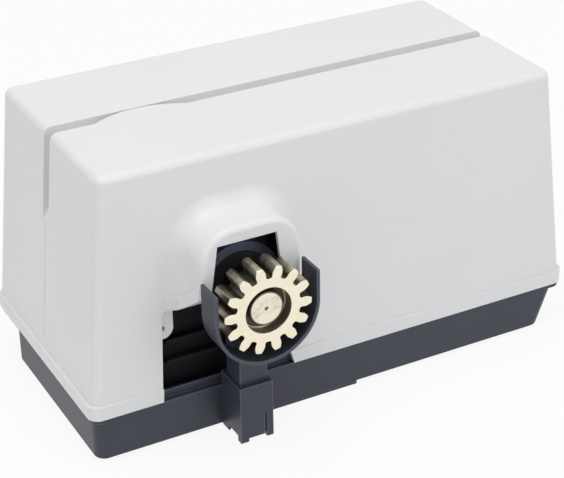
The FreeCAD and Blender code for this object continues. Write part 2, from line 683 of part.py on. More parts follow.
pinion_key_span = (dims.gear_front + dims.gear_recess_depth + 0.2, gear_back - 0.2)
wheel_half = dims.wheel_width / 2
wheel_span = (dims.wheel_middle - wheel_half, dims.wheel_middle + wheel_half)
wheel_key_span = (wheel_span[0] + 1.0, wheel_span[1] - 1.0)
lid_front = dims.box_rear + dims.gasket
rear_bearing_span = (lid_front + 1.0, lid_front + 1.0 + dims.rear_bearing_width)
shaft_front = dims.gear_front + dims.shaft_setback
ring_span = (dims.gear_front + dims.gear_recess_depth - dims.ring_thickness,
             dims.gear_front + dims.gear_recess_depth)


def make_output_shaft():
    """The stepped shaft, with two keyways, a ring groove and a centre drilling."""
    main = rod("shaft_main", "Y", axis, dims.shaft_diameter / 2, (shaft_front, wheel_span[1] + 4.0))
    journal = rod("shaft_journal", "Y", axis, dims.rear_journal / 2,
                  (wheel_span[1] + 4.0, rear_bearing_span[1] + 0.3))
    groove = tube("ring_groove", "Y", axis, dims.shaft_diameter / 2 + 2.0,
                  dims.shaft_diameter / 2 - 1.2, ring_span)
    drilling = rod("centre_drilling", "Y", axis, size(1.4), (shaft_front - 1.0, shaft_front + 5.0))
    return node("output_shaft", cut("shaft_cut", fuse("shaft_blank", main, journal), groove, drilling,
                                    key_block("pinion_seat", pinion_key_span),
                                    key_block("wheel_seat", wheel_key_span)))


def make_keys():
    node("pinion_key", key_block("pinion_key_block", pinion_key_span))
    node("wheel_key", key_block("wheel_key_block", wheel_key_span))


def make_retaining_ring():
    """The open spring ring that keeps the pinion on its shaft."""
    ring = tube("ring_band", "Y", axis, dims.shaft_diameter / 2 + dims.ring_height - 1.2,
                dims.shaft_diameter / 2 - 1.2, ring_span)
    gap = box("ring_gap", (dims.axis_x - 3.5, dims.axis_x + 3.5),
              (ring_span[0] - MARGIN, ring_span[1] + MARGIN),
              (dims.axis_z - 30.0, dims.axis_z))
    return node("pinion_retaining_ring", cut("ring_open", ring, gap))


# ---------------------------------------------------------------- guard

def make_guard():
    """A U of sheet round the pinion, on a hollow stem."""
    centre_z = dims.axis_z - dims.guard_drop
    outer = dims.guard_inner + dims.guard_wall
    span = (dims.gear_front, guard_back)
    past = (dims.gear_front - MARGIN, guard_back + MARGIN)
    round_outside = rod("guard_round", "Y", (dims.axis_x, centre_z), outer, span)
    straight_outside = box("guard_sides", (dims.axis_x - outer, dims.axis_x + outer), span,
                           (centre_z, dims.guard_top))
    half = dims.stem_width / 2
    stem_x = (dims.axis_x - half, dims.axis_x + half)
    stem_top = centre_z - outer + 6.0
    stem = box("stem_outside", stem_x, (stem_front, stem_front + dims.stem_depth),
               (dims.socket_shelf, stem_top))
    saddle = box("guard_saddle", stem_x, (guard_back - 15.0, stem_front + 1.0),
                 (centre_z - outer - 3.0, stem_top))
    round_inside = rod("guard_round_inside", "Y", (dims.axis_x, centre_z), dims.guard_inner, past)
    straight_inside = box("guard_room", (dims.axis_x - dims.guard_inner,
                                         dims.axis_x + dims.guard_inner), past,
                          (centre_z, centre_z + outer + MARGIN))
    above = box("guard_above", (dims.axis_x - outer - MARGIN, dims.axis_x + outer + MARGIN), past,
                (dims.guard_top, centre_z + outer + MARGIN))
    wall = dims.stem_wall
    hollow = box("stem_hollow", (stem_x[0] + wall, stem_x[1] - wall),
                 (stem_front + wall, stem_front + dims.stem_depth - wall),
                 (dims.socket_shelf - MARGIN, stem_top - 8.0))
    whole = fuse("guard_whole", round_outside, straight_outside, stem, saddle)
    return node("pinion_guard", cut("guard_cut", whole, round_inside, straight_inside,
                                    above, hollow))


def make_guard_socket():
    """The hollow post on the base's front wall that the guard's stem drops into."""
    gap = dims.stem_fit
    inner_half = dims.stem_width / 2 + gap
    outer_half = inner_half + dims.socket_wall
    front = stem_front - gap - dims.socket_front_wall
    rear = -dims.base_half_width
    x_span = (dims.axis_x - outer_half, dims.axis_x + outer_half)
    block = box("socket_block", x_span, (front, rear), (base_low, dims.socket_top))
    hollow_rear = stem_front + dims.stem_depth + gap
    hollow = box("socket_hollow", (dims.axis_x - inner_half, dims.axis_x + inner_half),
                 (stem_front - gap, hollow_rear), (dims.socket_shelf, dims.socket_top + MARGIN))
    under = box("socket_under", (dims.axis_x - inner_half, dims.axis_x + inner_half),
                (stem_front - gap, hollow_rear), (base_low - MARGIN, dims.socket_shelf - 3.0))
    foot_top = base_low + dims.socket_foot
    front_notch = box("socket_front_notch", (x_span[0] + 6.0, x_span[1] - 5.0),
                      (front - MARGIN, stem_front), (base_low - MARGIN, foot_top))
    side_notch = box("socket_side_notch", (x_span[0] - MARGIN, x_span[1] + MARGIN),
                     (front + 5.0, rear - 9.0), (base_low - MARGIN, foot_top + 1.5))
    slot_x = x_span[1] - 6.6
    slot = box("socket_slot", (slot_x, slot_x + 1.8), (front - MARGIN, front + 1.6),
               (base_low - MARGIN, base_low + 20.0))
    return node("guard_socket", cut("socket_cut", block, hollow, under, front_notch, side_notch,
                                    slot))


# ---------------------------------------------------------------- gearbox

box_x = (dims.box_left, dims.box_right)
cavity_front = wheel_span[0] - 3.0
cavity_radius = wheel_tip + dims.wheel_clearance
nose_bearing_span = (dims.nose_front + dims.seal_width + 1.5,
                     dims.nose_front + dims.seal_width + 1.5 + dims.bearing_width)
seal_span = (dims.nose_front + 0.5, dims.nose_front + 0.5 + dims.seal_width)
left_bearing_span = (dims.box_left + 6.0, dims.box_left + 6.0 + dims.left_bearing_width)
right_bearing_span = (dims.box_right - 1.0 - dims.right_bearing_width, dims.box_right - 1.0)
flange_x = (dims.box_left - dims.flange_overhang, dims.box_right + dims.flange_overhang)


def make_gearbox():
    """The cast housing: a rounded box with a bearing nose, ledges, feet and the worm's tunnel."""
    body = new_body("gearbox_casting")
    slab(body, "casting", "XZ", (dims.box_front, dims.box_rear), draw_rectangle, box_x,
         (dims.box_bottom - dims.flange_thickness, dims.box_top))
    round_edges(body, "casting_shoulders", dims.box_corner,
                lambda middle, line: abs(middle.z - dims.box_top.value) < 0.01
                and abs(line.tangentAt(line.FirstParameter).y) > 0.99)
    slab(body, "nose", "XZ", (dims.nose_front, dims.box_front + 1.0), draw_circle, *axis,
         dims.nose_radius)
    slab(body, "feet", "XY", (gearbox_foot, dims.box_bottom), draw_rectangle, flange_x,
         (dims.box_front, dims.box_rear))
    ledge_front = dims.box_front - dims.ledge_depth
    for place, top in enumerate((worm_axis_z + dims.worm_tunnel * 0.6,
                                 worm_axis_z - dims.worm_tunnel * 0.3)):
        slab(body, "ledge_%d" % place, "XY", (top - dims.ledge_height, top), draw_rectangle,
             (dims.box_left, dims.box_right), (ledge_front, dims.box_front + 1.0))
    slab(body, "release_post", "XY", (dims.box_top - 2.0, dims.box_top + dims.release_boss),
         draw_circle, dims.release_x, dims.release_y, dims.release_shaft / 2 + 5.0)
    wheel_room = rod("wheel_room", "Y", axis, cavity_radius, (cavity_front, dims.box_rear + MARGIN))
    nose_bore = rod("nose_bore", "Y", axis, dims.nose_bore / 2,
                    (dims.nose_front - MARGIN, nose_bearing_span[1]))
    shaft_room = rod("shaft_room", "Y", axis, dims.shaft_diameter / 2 + 3.0,
                     (nose_bearing_span[1] - 1.0, cavity_front + 1.0))
    tunnel = rod("worm_room", "X", worm_line, dims.worm_tunnel,
                 (left_bearing_span[1], dims.box_right + MARGIN))
    left_seat = rod("left_seat", "X", worm_line, dims.left_bearing / 2,
                    (left_bearing_span[0], left_bearing_span[1] + 1.0))
    release_bore = rod("release_bore", "Z", (dims.release_x, dims.release_y),
                       dims.release_shaft / 2 + fit,
                       (release_low - 1.0, dims.box_top + dims.release_boss + MARGIN))
    holes = [rod("foot_hole_%d" % place, "Z", spot, dims.foot_bolt / 2 + 0.5,
                 (gearbox_foot - MARGIN, dims.box_bottom + MARGIN))
             for place, spot in enumerate(foot_bolt_spots)]
    lid_holes = [rod("lid_thread_%d" % place, "Y", spot, size(2.5),
                     (dims.box_rear - 12.0, dims.box_rear + MARGIN))
                 for place, spot in enumerate(lid_screw_spots)]
    return node("gearbox_housing", cut("gearbox_cut", body, wheel_room, nose_bore, shaft_room,
                                       tunnel, left_seat, release_bore, *holes, *lid_holes))


lid_screw_spots = [(x, z) for x, z in
                   ((dims.box_left + 7.0, dims.box_bottom + 7.0),
                    (dims.box_right - 7.0, dims.box_bottom + 7.0),
                    (dims.box_left + 11.5, dims.box_top - 9.5),
                    (dims.box_right - 11.5, dims.box_top - 9.5))]
release_low = dims.axis_z + 6.0
lid_span = (lid_front, lid_front + dims.lid_thickness)


def lid_plate(name, span):
    """The outline of the gearbox's rear face, as a plate."""
    body = new_body(name)
    slab(body, name + "_plate", "XZ", span, draw_rectangle, box_x, (dims.box_bottom, dims.box_top))
    round_edges(body, name + "_shoulders", dims.box_corner,
                lambda middle, line: abs(middle.z - dims.box_top.value) < 0.01
                and abs(line.tangentAt(line.FirstParameter).y) > 0.99)
    return body


def make_lid():
    holes = [rod("lid_hole_%d" % place, "Y", spot, size(2.8),
                 (lid_span[0] - MARGIN, lid_span[1] + MARGIN))
             for place, spot in enumerate(lid_screw_spots)]
    boss = rod("lid_boss", "Y", axis, dims.lid_boss,
               (lid_span[0] + 1.0, lid_span[1] + dims.lid_boss_depth))
    seat = rod("rear_seat", "Y", axis, dims.rear_bearing / 2,
               (lid_span[0] - MARGIN, rear_bearing_span[1] + 0.8))
    return node("gearbox_lid", cut("lid_cut", fuse("lid_blank", lid_plate("lid", lid_span), boss),
                                   seat, *holes))


def make_gasket():
    holes = [rod("gasket_hole_%d" % place, "Y", spot, size(2.8), (dims.box_rear - MARGIN, lid_front
                 + MARGIN)) for place, spot in enumerate(lid_screw_spots)]
    room = rod("gasket_room", "Y", axis, cavity_radius, (dims.box_rear - MARGIN, lid_front + MARGIN))
    return node("lid_gasket", cut("gasket_cut", lid_plate("gasket", (dims.box_rear, lid_front)),
                                  room, *holes))


def make_gearbox_screws():
    screws = [screw("lid_screw_%d" % place, "Y", spot, lid_span[1], -1, 5.0, 16.0, 8.5)
              for place, spot in enumerate(lid_screw_spots)]
    node("lid_screws", group("lid_screw_set", screws))
    bolts = [screw("foot_bolt_%d" % place, "Z", spot, dims.box_bottom, -1, dims.foot_bolt, 12.5, 10.0)
             for place, spot in enumerate(foot_bolt_spots)]
    node("gearbox_bolts", group("foot_bolt_set", bolts))


def make_bearing(name, direction, across, outer, inner, span, shaft_side):
    """A ball bearing as one ring with a race groove in each face."""
    ring = tube(name + "_ring", direction, across, size(outer) / 2, size(inner) / 2 + shaft_side, span)
    middle = (size(outer) + inner) / 4
    band = (size(outer) - inner) / 8
    grooves = []
    for place, (low, high) in enumerate(((span[0] - 1.0, span[0] + 0.8), (span[1] - 0.8, span[1] + 1.0))):
        grooves.append(tube("%s_race_%d" % (name, place), direction, across, middle + band,
                            middle - band, (low, high)))
    return node(name, cut(name + "_races", ring, *grooves))


def make_bearings():
    make_bearing("front_bearing", "Y", axis, dims.nose_bore, dims.shaft_diameter,
                 nose_bearing_span, fit)
    make_bearing("rear_bearing", "Y", axis, dims.rear_bearing, dims.rear_journal,
                 rear_bearing_span, fit)
    make_bearing("worm_end_bearing", "X", worm_line, dims.left_bearing, dims.left_journal,
                 left_bearing_span, fit)
    make_bearing("worm_drive_bearing", "X", worm_line, dims.right_bearing, dims.rotor_shaft,
                 right_bearing_span, fit)
    make_bearing("motor_rear_bearing", "X", worm_line, dims.left_bearing, dims.left_journal,
                 bell_bearing_span, fit)


def make_seal():
    return node("shaft_seal", tube("seal_ring", "Y", axis, dims.nose_bore / 2,
                                   dims.shaft_diameter / 2 + fit, seal_span))


# ---------------------------------------------------------------- worm drive

def make_worm_wheel():
    """The bronze wheel: slanted teeth that follow the worm's lead across the width."""
    module, teeth = dims.worm_module.value, int(dims.wheel_teeth.value)
    pitch, width = wheel_pitch.value, dims.wheel_width.value
    lead_slope = module / (2 * dims.worm_radius.value)
    root, tip = pitch - 1.25 * module, pitch + module * 0.95
    half_at_pitch = math.pi * module / 4 - dims.backlash.value / 2
    slant = math.tan(math.radians(20))
    profile = []
    for radius in (root - 1.0, pitch - 0.4 * module, pitch + 0.35 * module, tip):
        rounding = (radius - pitch) ** 2 / (2 * pitch) * 0.35
        profile.append((radius, half_at_pitch - (radius - pitch) * slant - rounding))
    corners = [Vector(side * half, -radius, 0) for side, half_list in
               ((1, profile), (-1, list(reversed(profile)))) for radius, half in half_list]
    shift = Vector(lead_slope * width / 2, 0, 0)
    low = Part.makePolygon([c - shift - Vector(0, 0, width / 2) for c in corners + corners[:1]])
    high = Part.makePolygon([c + shift + Vector(0, 0, width / 2) for c in corners + corners[:1]])
    tooth = Part.makeLoft([low, high], True, True)
    ring = Part.makeCylinder(root, width, Vector(0, 0, -width / 2))
    copies = []
    for place in range(teeth):
        copy = tooth.copy()
        copy.rotate(Vector(), Vector(0, 0, 1), 360.0 * place / teeth)
        copies.append(copy)
    blank = ring.fuse(copies).removeSplitter()
    wheel = place_shape("wheel_teeth", blank, Rotation(Vector(1, 0, 0), 90), dims.axis_x,
                        dims.wheel_middle, dims.axis_z)
    bore = rod("wheel_bore", "Y", axis, dims.shaft_diameter / 2,
               (wheel_span[0] - MARGIN, wheel_span[1] + MARGIN))
    keyway = key_block("wheel_keyway", (wheel_span[0] - MARGIN, wheel_span[1] + MARGIN))
    faces = [tube("wheel_web_%d" % place, "Y", axis, wheel_pitch - dims.worm_module * 3,
                  dims.shaft_diameter / 2 + 6.0, span)
             for place, span in enumerate(((wheel_span[0] - 1.0, wheel_span[0] + 3.5),
                                           (wheel_span[1] - 3.5, wheel_span[1] + 1.0)))]
    return node("worm_wheel", cut("wheel_cut", wheel, bore, keyway, *faces))


def make_worm_shaft():
    """The motor's shaft with the worm cut on it."""
    module, pitch_radius = dims.worm_module.value, dims.worm_radius.value
    lead = math.pi * module
    root, tip = pitch_radius - 1.25 * module, pitch_radius + module
    slant = math.tan(math.radians(20))
    length = dims.worm_length.value
    base_radius = root - 0.4
    turns_length = length + 2 * lead
    helix = Part.makeHelix(lead, turns_length, pitch_radius)
    section = []
    for radius, side in ((base_radius, -1), (tip, -1), (tip, 1), (base_radius, 1)):
        half = lead / 4 - (radius - pitch_radius) * slant
        section.append(Vector(radius, 0, side * half))
    wire = Part.makePolygon(section + section[:1])
    thread = Part.Wire(helix).makePipeShell([wire], True, True)
    trim = Part.makeCylinder(tip + 1, length, Vector(0, 0, lead))
    core = Part.makeCylinder(root, length, Vector(0, 0, lead))
    worm = thread.common(trim).fuse(core)
    middle = dims.worm_module * math.pi + dims.worm_length / 2
    gap_upwards = Rotation(Vector(0, 0, 1), -360.0 * middle.value / lead)
    threads = place_shape("worm_thread", worm, TURNS["X"].multiply(gap_upwards),
                          dims.axis_x - middle, dims.wheel_middle, worm_axis_z)
    worm_half = dims.worm_length / 2
    left = rod("worm_left", "X", worm_line, dims.left_journal / 2,
               (left_bearing_span[0] + 0.5, dims.axis_x - worm_half + 1.0))
    right = rod("worm_right", "X", worm_line, dims.rotor_shaft / 2,
                (dims.axis_x + worm_half - 1.0, stack_span[1] + 4.0))
    tail = rod("worm_tail", "X", worm_line, dims.left_journal / 2,
               (stack_span[1] + 3.0, bell_bearing_span[1] + 1.0))
    return node("worm_shaft", fuse("worm_whole", threads, left, right, tail))


# ---------------------------------------------------------------- motor

motor_end = dims.box_right + dims.motor_length
front_plate_span = (dims.box_right, dims.box_right + 6.0)
shell_span = (front_plate_span[1], motor_end)
stack_span = (dims.stack_start, dims.stack_start + dims.stack_length)
bell_bearing_span = (motor_end + 1.0, motor_end + 1.0 + dims.left_bearing_width)


def make_motor():
    """Shell, end plates, stator and rotor."""
    core = rod("shell_core", "X", worm_line, dims.motor_radius, shell_span)
    fins = []
    for place in range(int(dims.fin_count.value)):
        angle = 360.0 * place / dims.fin_count.value
        fin = doc.addObject("Part::Box", "fin_%d" % place)
        bind(fin, "Length", shell_span[1] - shell_span[0] - 12.0)
        bind(fin, "Width", dims.fin_width)
        bind(fin, "Height", dims.fin_height + 1.5)
        turn = Rotation(Vector(1, 0, 0), angle)
        fin.Placement = Placement(Vector(), turn)
        arm = turn.multVec(Vector(0, 0, 1))
        side = turn.multVec(Vector(0, 1, 0))
        reach = dims.motor_radius - 1.5
        move(fin, shell_span[0] + 6.0,
             worm_line[0] + reach * arm.y - dims.fin_width / 2 * side.y,
             worm_line[1] + reach * arm.z - dims.fin_width / 2 * side.z)
        fins.append(fin)
    bore = rod("shell_bore", "X", worm_line, dims.motor_radius - dims.motor_wall,
               (shell_span[0] - MARGIN, shell_span[1] + MARGIN))
    node("motor_housing", cut("shell_cut", fuse("shell_finned", core, *fins), bore))
    clear = dims.rotor_shaft / 2 + 0.6
    node("motor_flange", tube("front_plate", "X", worm_line, dims.motor_radius, clear,
                              front_plate_span))
    bell = fuse("bell_blank",
                rod("bell_plate", "X", worm_line, dims.motor_radius,
                    (motor_end, motor_end + dims.bell_thickness)),
                rod("bell_cap", "X", worm_line, dims.bell_boss,
                    (motor_end + 1.0, motor_end + dims.bell_thickness + MARGIN)))
    seat = rod("bell_seat", "X", worm_line, dims.left_bearing / 2,
               (motor_end - MARGIN, bell_bearing_span[1] + 1.2))
    node("motor_end_bell", cut("bell_cut", bell, seat))
    node("stator_core", tube("stack", "X", worm_line, dims.motor_radius - dims.motor_wall,
                             dims.stack_bore, stack_span))
    windings = [tube("winding_%d" % place, "X", worm_line, dims.motor_radius - dims.motor_wall - 2.5,
                     dims.stack_bore + 2.5, span)
                for place, span in enumerate(
                    ((stack_span[0] - dims.winding_length, stack_span[0]),
                     (stack_span[1], stack_span[1] + dims.winding_length)))]
    node("stator_windings", group("winding_pair", windings))
    node("rotor_core", tube("rotor_stack", "X", worm_line, dims.stack_bore - dims.air_gap,
                            dims.rotor_shaft / 2, stack_span))
    reach = dims.motor_radius - 6.0
    screws = []
    for place in range(4):
        angle = math.radians(45 + 90 * place)
        spot = (worm_line[0] + reach * math.cos(angle), worm_line[1] + reach * math.sin(angle))
        screws.append(rod("bell_screw_%d" % place, "X", spot, size(4.0),
                          (motor_end + dims.bell_thickness, motor_end + dims.bell_thickness + 4.0)))
    node("motor_screws", group("bell_screw_set", screws))


# ---------------------------------------------------------------- electrics

board_middle = dims.groove_middle - 8.0
tray_span_x = (dims.board_left, dims.board_left + dims.board_length)
tray_span_y = (dims.tray_front, board_middle + dims.board_width / 2 + 12.0)
tray_low = dims.board_height - dims.tray_depth
board_span_x = (tray_span_x[0] + 4.0, tray_span_x[1] - 4.0)
board_span_y = (board_middle - dims.board_width / 2, board_middle + dims.board_width / 2)
board_top = dims.board_height + dims.board_thickness


def make_tray():
    """The plastic tray over the motor, on four legs from the base."""
    wall = dims.tray_wall
    block = box("tray_block", tray_span_x, tray_span_y, (tray_low, dims.board_height - 1.0))
    room = box("tray_room", (tray_span_x[0] + wall, tray_span_x[1] - wall),
               (tray_span_y[0] + wall, tray_span_y[1] - wall),
               (tray_low + wall, dims.board_height + MARGIN))
    legs = []
    studs = []
    inset = dims.post / 2
    for place, (x, y) in enumerate((x, y) for x in (tray_span_x[0] + inset, tray_span_x[1] - inset - 8.0)
                                   for y in (tray_span_y[0] + 3.4, tray_span_y[1] - inset)):
        legs.append(rod("tray_leg_%d" % place, "Z", (x, y), size(2.6), (floor_top, tray_low + 1.0)))
    for place, (x, y) in enumerate((x, y) for x in (board_span_x[0] + 5.0, board_span_x[1] - 5.0)
                                   for y in (board_span_y[0] + 5.0, board_span_y[1] - 5.0)):
        studs.append(rod("tray_stud_%d" % place, "Z", (x, y), size(3.5),
                         (tray_low + 1.0, dims.board_height)))
    return node("board_tray", fuse("tray_whole", cut("tray_cut", block, room), *legs, *studs))


def make_board():
    """The control board with its relays, terminals, fuse and smoothing capacitor."""
    node("control_board", box("board", board_span_x, board_span_y, (dims.board_height, board_top)))
    relays = [box("relay_%d" % place, (board_span_x[0] + 12.0 + 24.0 * place,
                                       board_span_x[0] + 30.0 + 24.0 * place),
                  (board_span_y[1] - 36.0, board_span_y[1] - 8.0), (board_top, board_top + 15.0))
              for place in range(3)]
    node("board_relays", group("relay_set", relays))
    terminals = []
    for place in range(3):
        start = board_span_x[0] + 8.0 + 44.0 * place
        strip = box("terminal_strip_%d" % place, (start, start + 40.0),
                    (board_span_y[0] + 1.0, board_span_y[0] + 11.0), (board_top, board_top + 12.0))
        clamps = [rod("terminal_screw_%d_%d" % (place, pole), "Z",
                      (start + 4.0 + 8.0 * pole, board_span_y[0] + 6.0), size(2.2),
                      (board_top + 9.0, board_top + 12.0 + MARGIN)) for pole in range(5)]
        terminals.append(cut("terminal_%d" % place, strip, *clamps))
    node("terminal_blocks", group("terminal_set", terminals))
    node("smoothing_capacitor", rod("can", "Z", (board_span_x[1] - 20.0, board_span_y[1] - 20.0),
                                    size(9.0), (board_top, board_top + 30.0)))
    fuse_y = (board_middle - 12.0, board_middle - 4.0)
    node("fuse_holder", box("fuse_block", (board_span_x[1] - 44.0, board_span_x[1] - 16.0), fuse_y,
                            (board_top, board_top + 10.0)))
    node("radio_receiver", box("receiver", (board_span_x[0] + 8.0, board_span_x[0] + 12.0),
                               (board_middle - 18.0, board_middle + 22.0), (board_top, board_top + 22.0)))


capacitor_line = (dims.capacitor_y, floor_top + dims.capacitor_radius + 2.0)
capacitor_span = (ZERO, dims.capacitor_length)


def make_capacitor():
    node("run_capacitor", rod("capacitor_can", "X", capacitor_line, dims.capacitor_radius,
                              capacitor_span))
    middle = dims.capacitor_length / 2
    strap = tube("strap", "X", capacitor_line, dims.capacitor_radius + 1.8, dims.capacitor_radius,
                 (middle - 6.0, middle + 6.0))
    foot = box("strap_foot", (middle - 6.0, middle + 6.0),
               (dims.capacitor_y - 5.0, dims.capacitor_y + 5.0),
               (floor_top, capacitor_line[1] - dims.capacitor_radius - 0.4))
    node("capacitor_clip", fuse("clip_whole", strap, foot))


def make_transformer():
    """A laminated core with its coil, on the base's floor at the far end from the pinion."""
    right = dims.base_right_foot - dims.base_wall - 5.0
    x_span = (right - dims.transformer_length, right)
    half = dims.transformer_width / 2
    z_span = (floor_top, floor_top + dims.transformer_height)
    leg = dims.transformer_width / 6
    core = box("core_block", (x_span[0] + 12.0, x_span[1] - 12.0), (-half, half), z_span)
    windows = [box("core_window_%d" % place, (x_span[0] - MARGIN, x_span[1] + MARGIN), span,
                   (z_span[0] + leg, z_span[1] - leg))
               for place, span in enumerate(((-half + leg, -leg), (leg, half - leg)))]
    node("transformer_core", cut("core_cut", core, *windows))
    outer = box("coil_block", x_span, (-half + leg + 0.5, half - leg - 0.5),
                (z_span[0] + leg + 0.5, z_span[1] - leg - 0.5))
    limb = box("coil_bore", (x_span[0] + 11.5, x_span[1] - 11.5), (-leg, leg),
               (z_span[0] - MARGIN, z_span[1] + MARGIN))
    node("transformer_coil", cut("coil_cut", outer, limb))


def make_sensor():
    """The limit sensor beside the pinion's nose."""
    right = dims.box_right - 1.0
    node("limit_sensor", box("sensor", (right - 14.0, right), (dims.box_front - 6.0, dims.box_front),
                             (dims.axis_z - 2.0, dims.axis_z + 18.0)))


def make_gland():
    """The gland in the base's floor where the mains and control wires come in."""
    spot = (dims.gland_x, dims.gland_y)
    body = new_body("gland_nut")
    sketch = new_sketch(body, "gland_hexagon", "XY", floor_top)
    reach = dims.gland_hex / math.sqrt(3)
    corners = [(dims.gland_x + reach * math.cos(math.radians(60 * step)),
                dims.gland_y + reach * math.sin(math.radians(60 * step))) for step in range(6)]
    draw_outline(sketch, corners)
    extrude(body, sketch, size(5.0), "XY")
    thread = rod("gland_thread", "Z", spot, dims.gland_bore / 2 - 0.25, (size(1.0), floor_top + 1.0))
    neck = rod("gland_neck", "Z", spot, dims.gland_bore / 2, (floor_top + 4.0, floor_top + 17.0))
    bore = rod("gland_opening", "Z", spot, size(4.5), (ZERO - MARGIN, floor_top + 17.0 + MARGIN))
    return node("cable_gland", cut("gland_cut", fuse("gland_whole", body, thread, neck), bore))


# ---------------------------------------------------------------- release

def make_release():
    """The spindle and lever that free the gate by hand, under the cover."""
    spot = (dims.release_x, dims.release_y)
    post_top = dims.box_top + dims.release_boss
    lever_low = post_top + dims.lever_gap
    lever_high = lever_low + dims.lever_thickness
    node("release_spindle", rod("spindle", "Z", spot, dims.release_shaft / 2,
                                (release_low, lever_high + 4.0)))
    half = dims.release_shaft / 2 + 2.0
    hub = rod("lever_hub", "Z", spot, dims.release_shaft / 2 + 5.0, (lever_low, lever_high))
    end_x = dims.release_x - dims.release_length
    arm = box("lever_arm", (end_x, dims.release_x), (dims.release_y - half, dims.release_y + half),
              (lever_low, lever_high))
    tip = rod("lever_tip", "Z", (end_x, dims.release_y), half, (lever_low, lever_high + 6.0))
    bore = rod("lever_bore", "Z", spot, dims.release_shaft / 2, (lever_low - 1.0, lever_high + 1.0))
    node("release_lever", cut("lever_cut", fuse("lever_blank", hub, arm, tip), bore))


# ---------------------------------------------------------------- build and write

make_base()
make_cover()
make_cover_screws()
make_pinion()
make_output_shaft()
make_keys()
make_retaining_ring()
make_guard()
make_guard_socket()
make_gearbox()
make_lid()
make_gasket()
make_gearbox_screws()
make_bearings()
make_seal()
make_worm_wheel()
make_worm_shaft()
make_motor()
make_tray()
make_board()
make_capacitor()
make_transformer()
make_sensor()
make_gland()
make_release()
doc.recompute()

for thing in doc.Objects:
    if "Invalid" in thing.State or "Error" in thing.State:
        raise RuntimeError("%s did not build: %s" % (thing.Name, thing.State))
    removes = thing.TypeId == "PartDesign::Pocket"
    if removes and thing.Shape.Volume > thing.BaseFeature.Shape.Volume - 1.0:
        raise RuntimeError("%s removes nothing" % thing.Name)
for name, thing in nodes.items():
    if thing.Shape.isNull() or not thing.Shape.isValid():
        raise RuntimeError("%s has no valid shape" % name)
    thing.Shape.exportStep("parts/%s.step" % name)
print("wrote %d parts" % len(nodes))
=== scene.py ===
# %% [markdown]
# # A sliding gate motor
#
# The motor turns a steel pinion that pushes a toothed rack, and the rack is screwed to the gate.
# A white moulded cover hides the gearbox, the electric motor and the control board. All of these
# solid pieces come in from the frame at their real size. Blender's work here is the finish of
# every surface, the small forms that are too fine for the frame, the light and the camera.

# %% Load the frame
import json
import math
import bmesh
import bpy
from mathutils import Matrix, Vector

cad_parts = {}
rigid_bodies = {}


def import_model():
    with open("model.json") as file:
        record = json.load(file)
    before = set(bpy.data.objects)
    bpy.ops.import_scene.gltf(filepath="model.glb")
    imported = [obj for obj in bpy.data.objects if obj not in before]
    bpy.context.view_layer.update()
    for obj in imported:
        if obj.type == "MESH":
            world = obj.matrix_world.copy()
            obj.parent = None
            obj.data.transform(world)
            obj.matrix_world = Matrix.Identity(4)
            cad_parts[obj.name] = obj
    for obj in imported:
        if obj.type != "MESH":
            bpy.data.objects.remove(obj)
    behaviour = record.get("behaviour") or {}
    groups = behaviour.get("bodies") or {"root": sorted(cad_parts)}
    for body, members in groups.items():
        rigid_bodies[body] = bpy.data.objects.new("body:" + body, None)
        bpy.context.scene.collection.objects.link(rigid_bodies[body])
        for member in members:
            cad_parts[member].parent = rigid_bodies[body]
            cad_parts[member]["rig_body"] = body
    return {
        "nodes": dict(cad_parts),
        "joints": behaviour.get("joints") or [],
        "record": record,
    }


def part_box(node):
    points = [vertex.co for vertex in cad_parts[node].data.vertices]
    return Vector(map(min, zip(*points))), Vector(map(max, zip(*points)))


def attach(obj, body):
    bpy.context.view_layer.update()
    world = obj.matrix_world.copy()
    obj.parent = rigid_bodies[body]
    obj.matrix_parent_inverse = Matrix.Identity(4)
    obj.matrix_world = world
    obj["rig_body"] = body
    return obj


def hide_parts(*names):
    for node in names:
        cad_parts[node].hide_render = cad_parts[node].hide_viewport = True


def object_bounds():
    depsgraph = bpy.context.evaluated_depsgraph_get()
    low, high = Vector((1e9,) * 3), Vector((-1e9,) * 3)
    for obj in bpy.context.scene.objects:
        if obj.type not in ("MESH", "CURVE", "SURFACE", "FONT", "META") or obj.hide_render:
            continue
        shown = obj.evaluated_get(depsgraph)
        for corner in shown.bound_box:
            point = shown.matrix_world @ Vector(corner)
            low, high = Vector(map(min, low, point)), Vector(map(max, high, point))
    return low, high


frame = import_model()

nodes = frame["nodes"]
frame_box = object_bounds()
MM = 0.001

# %% [markdown]
# ## Places that the pieces share
#
# A new piece has to land where the frame says, so its place is read from the frame's boxes and
# joints. The output joint gives the line that the pinion turns about, and the rotor joint gives
# the line of the motor. Everything that is round in this machine is round about one of the two.

# %% Axes
joints = {joint["name"]: joint for joint in frame["joints"]}
output_line = Vector(joints["output_spin"]["pos_m"])
motor_line = Vector(joints["rotor_spin"]["pos_m"])
print("pinion line", tuple(output_line), "motor line", tuple(motor_line))

# %% [markdown]
# ## The camera
#
# A long lens keeps the box's edges nearly parallel, as in a catalogue picture. The camera stands
# in front and to the left, and looks down a little, so that the top, the front and the left end
# all show. Its turn is built from three plain turns: swing it round, nod it down, and tilt it by
# less than a degree.

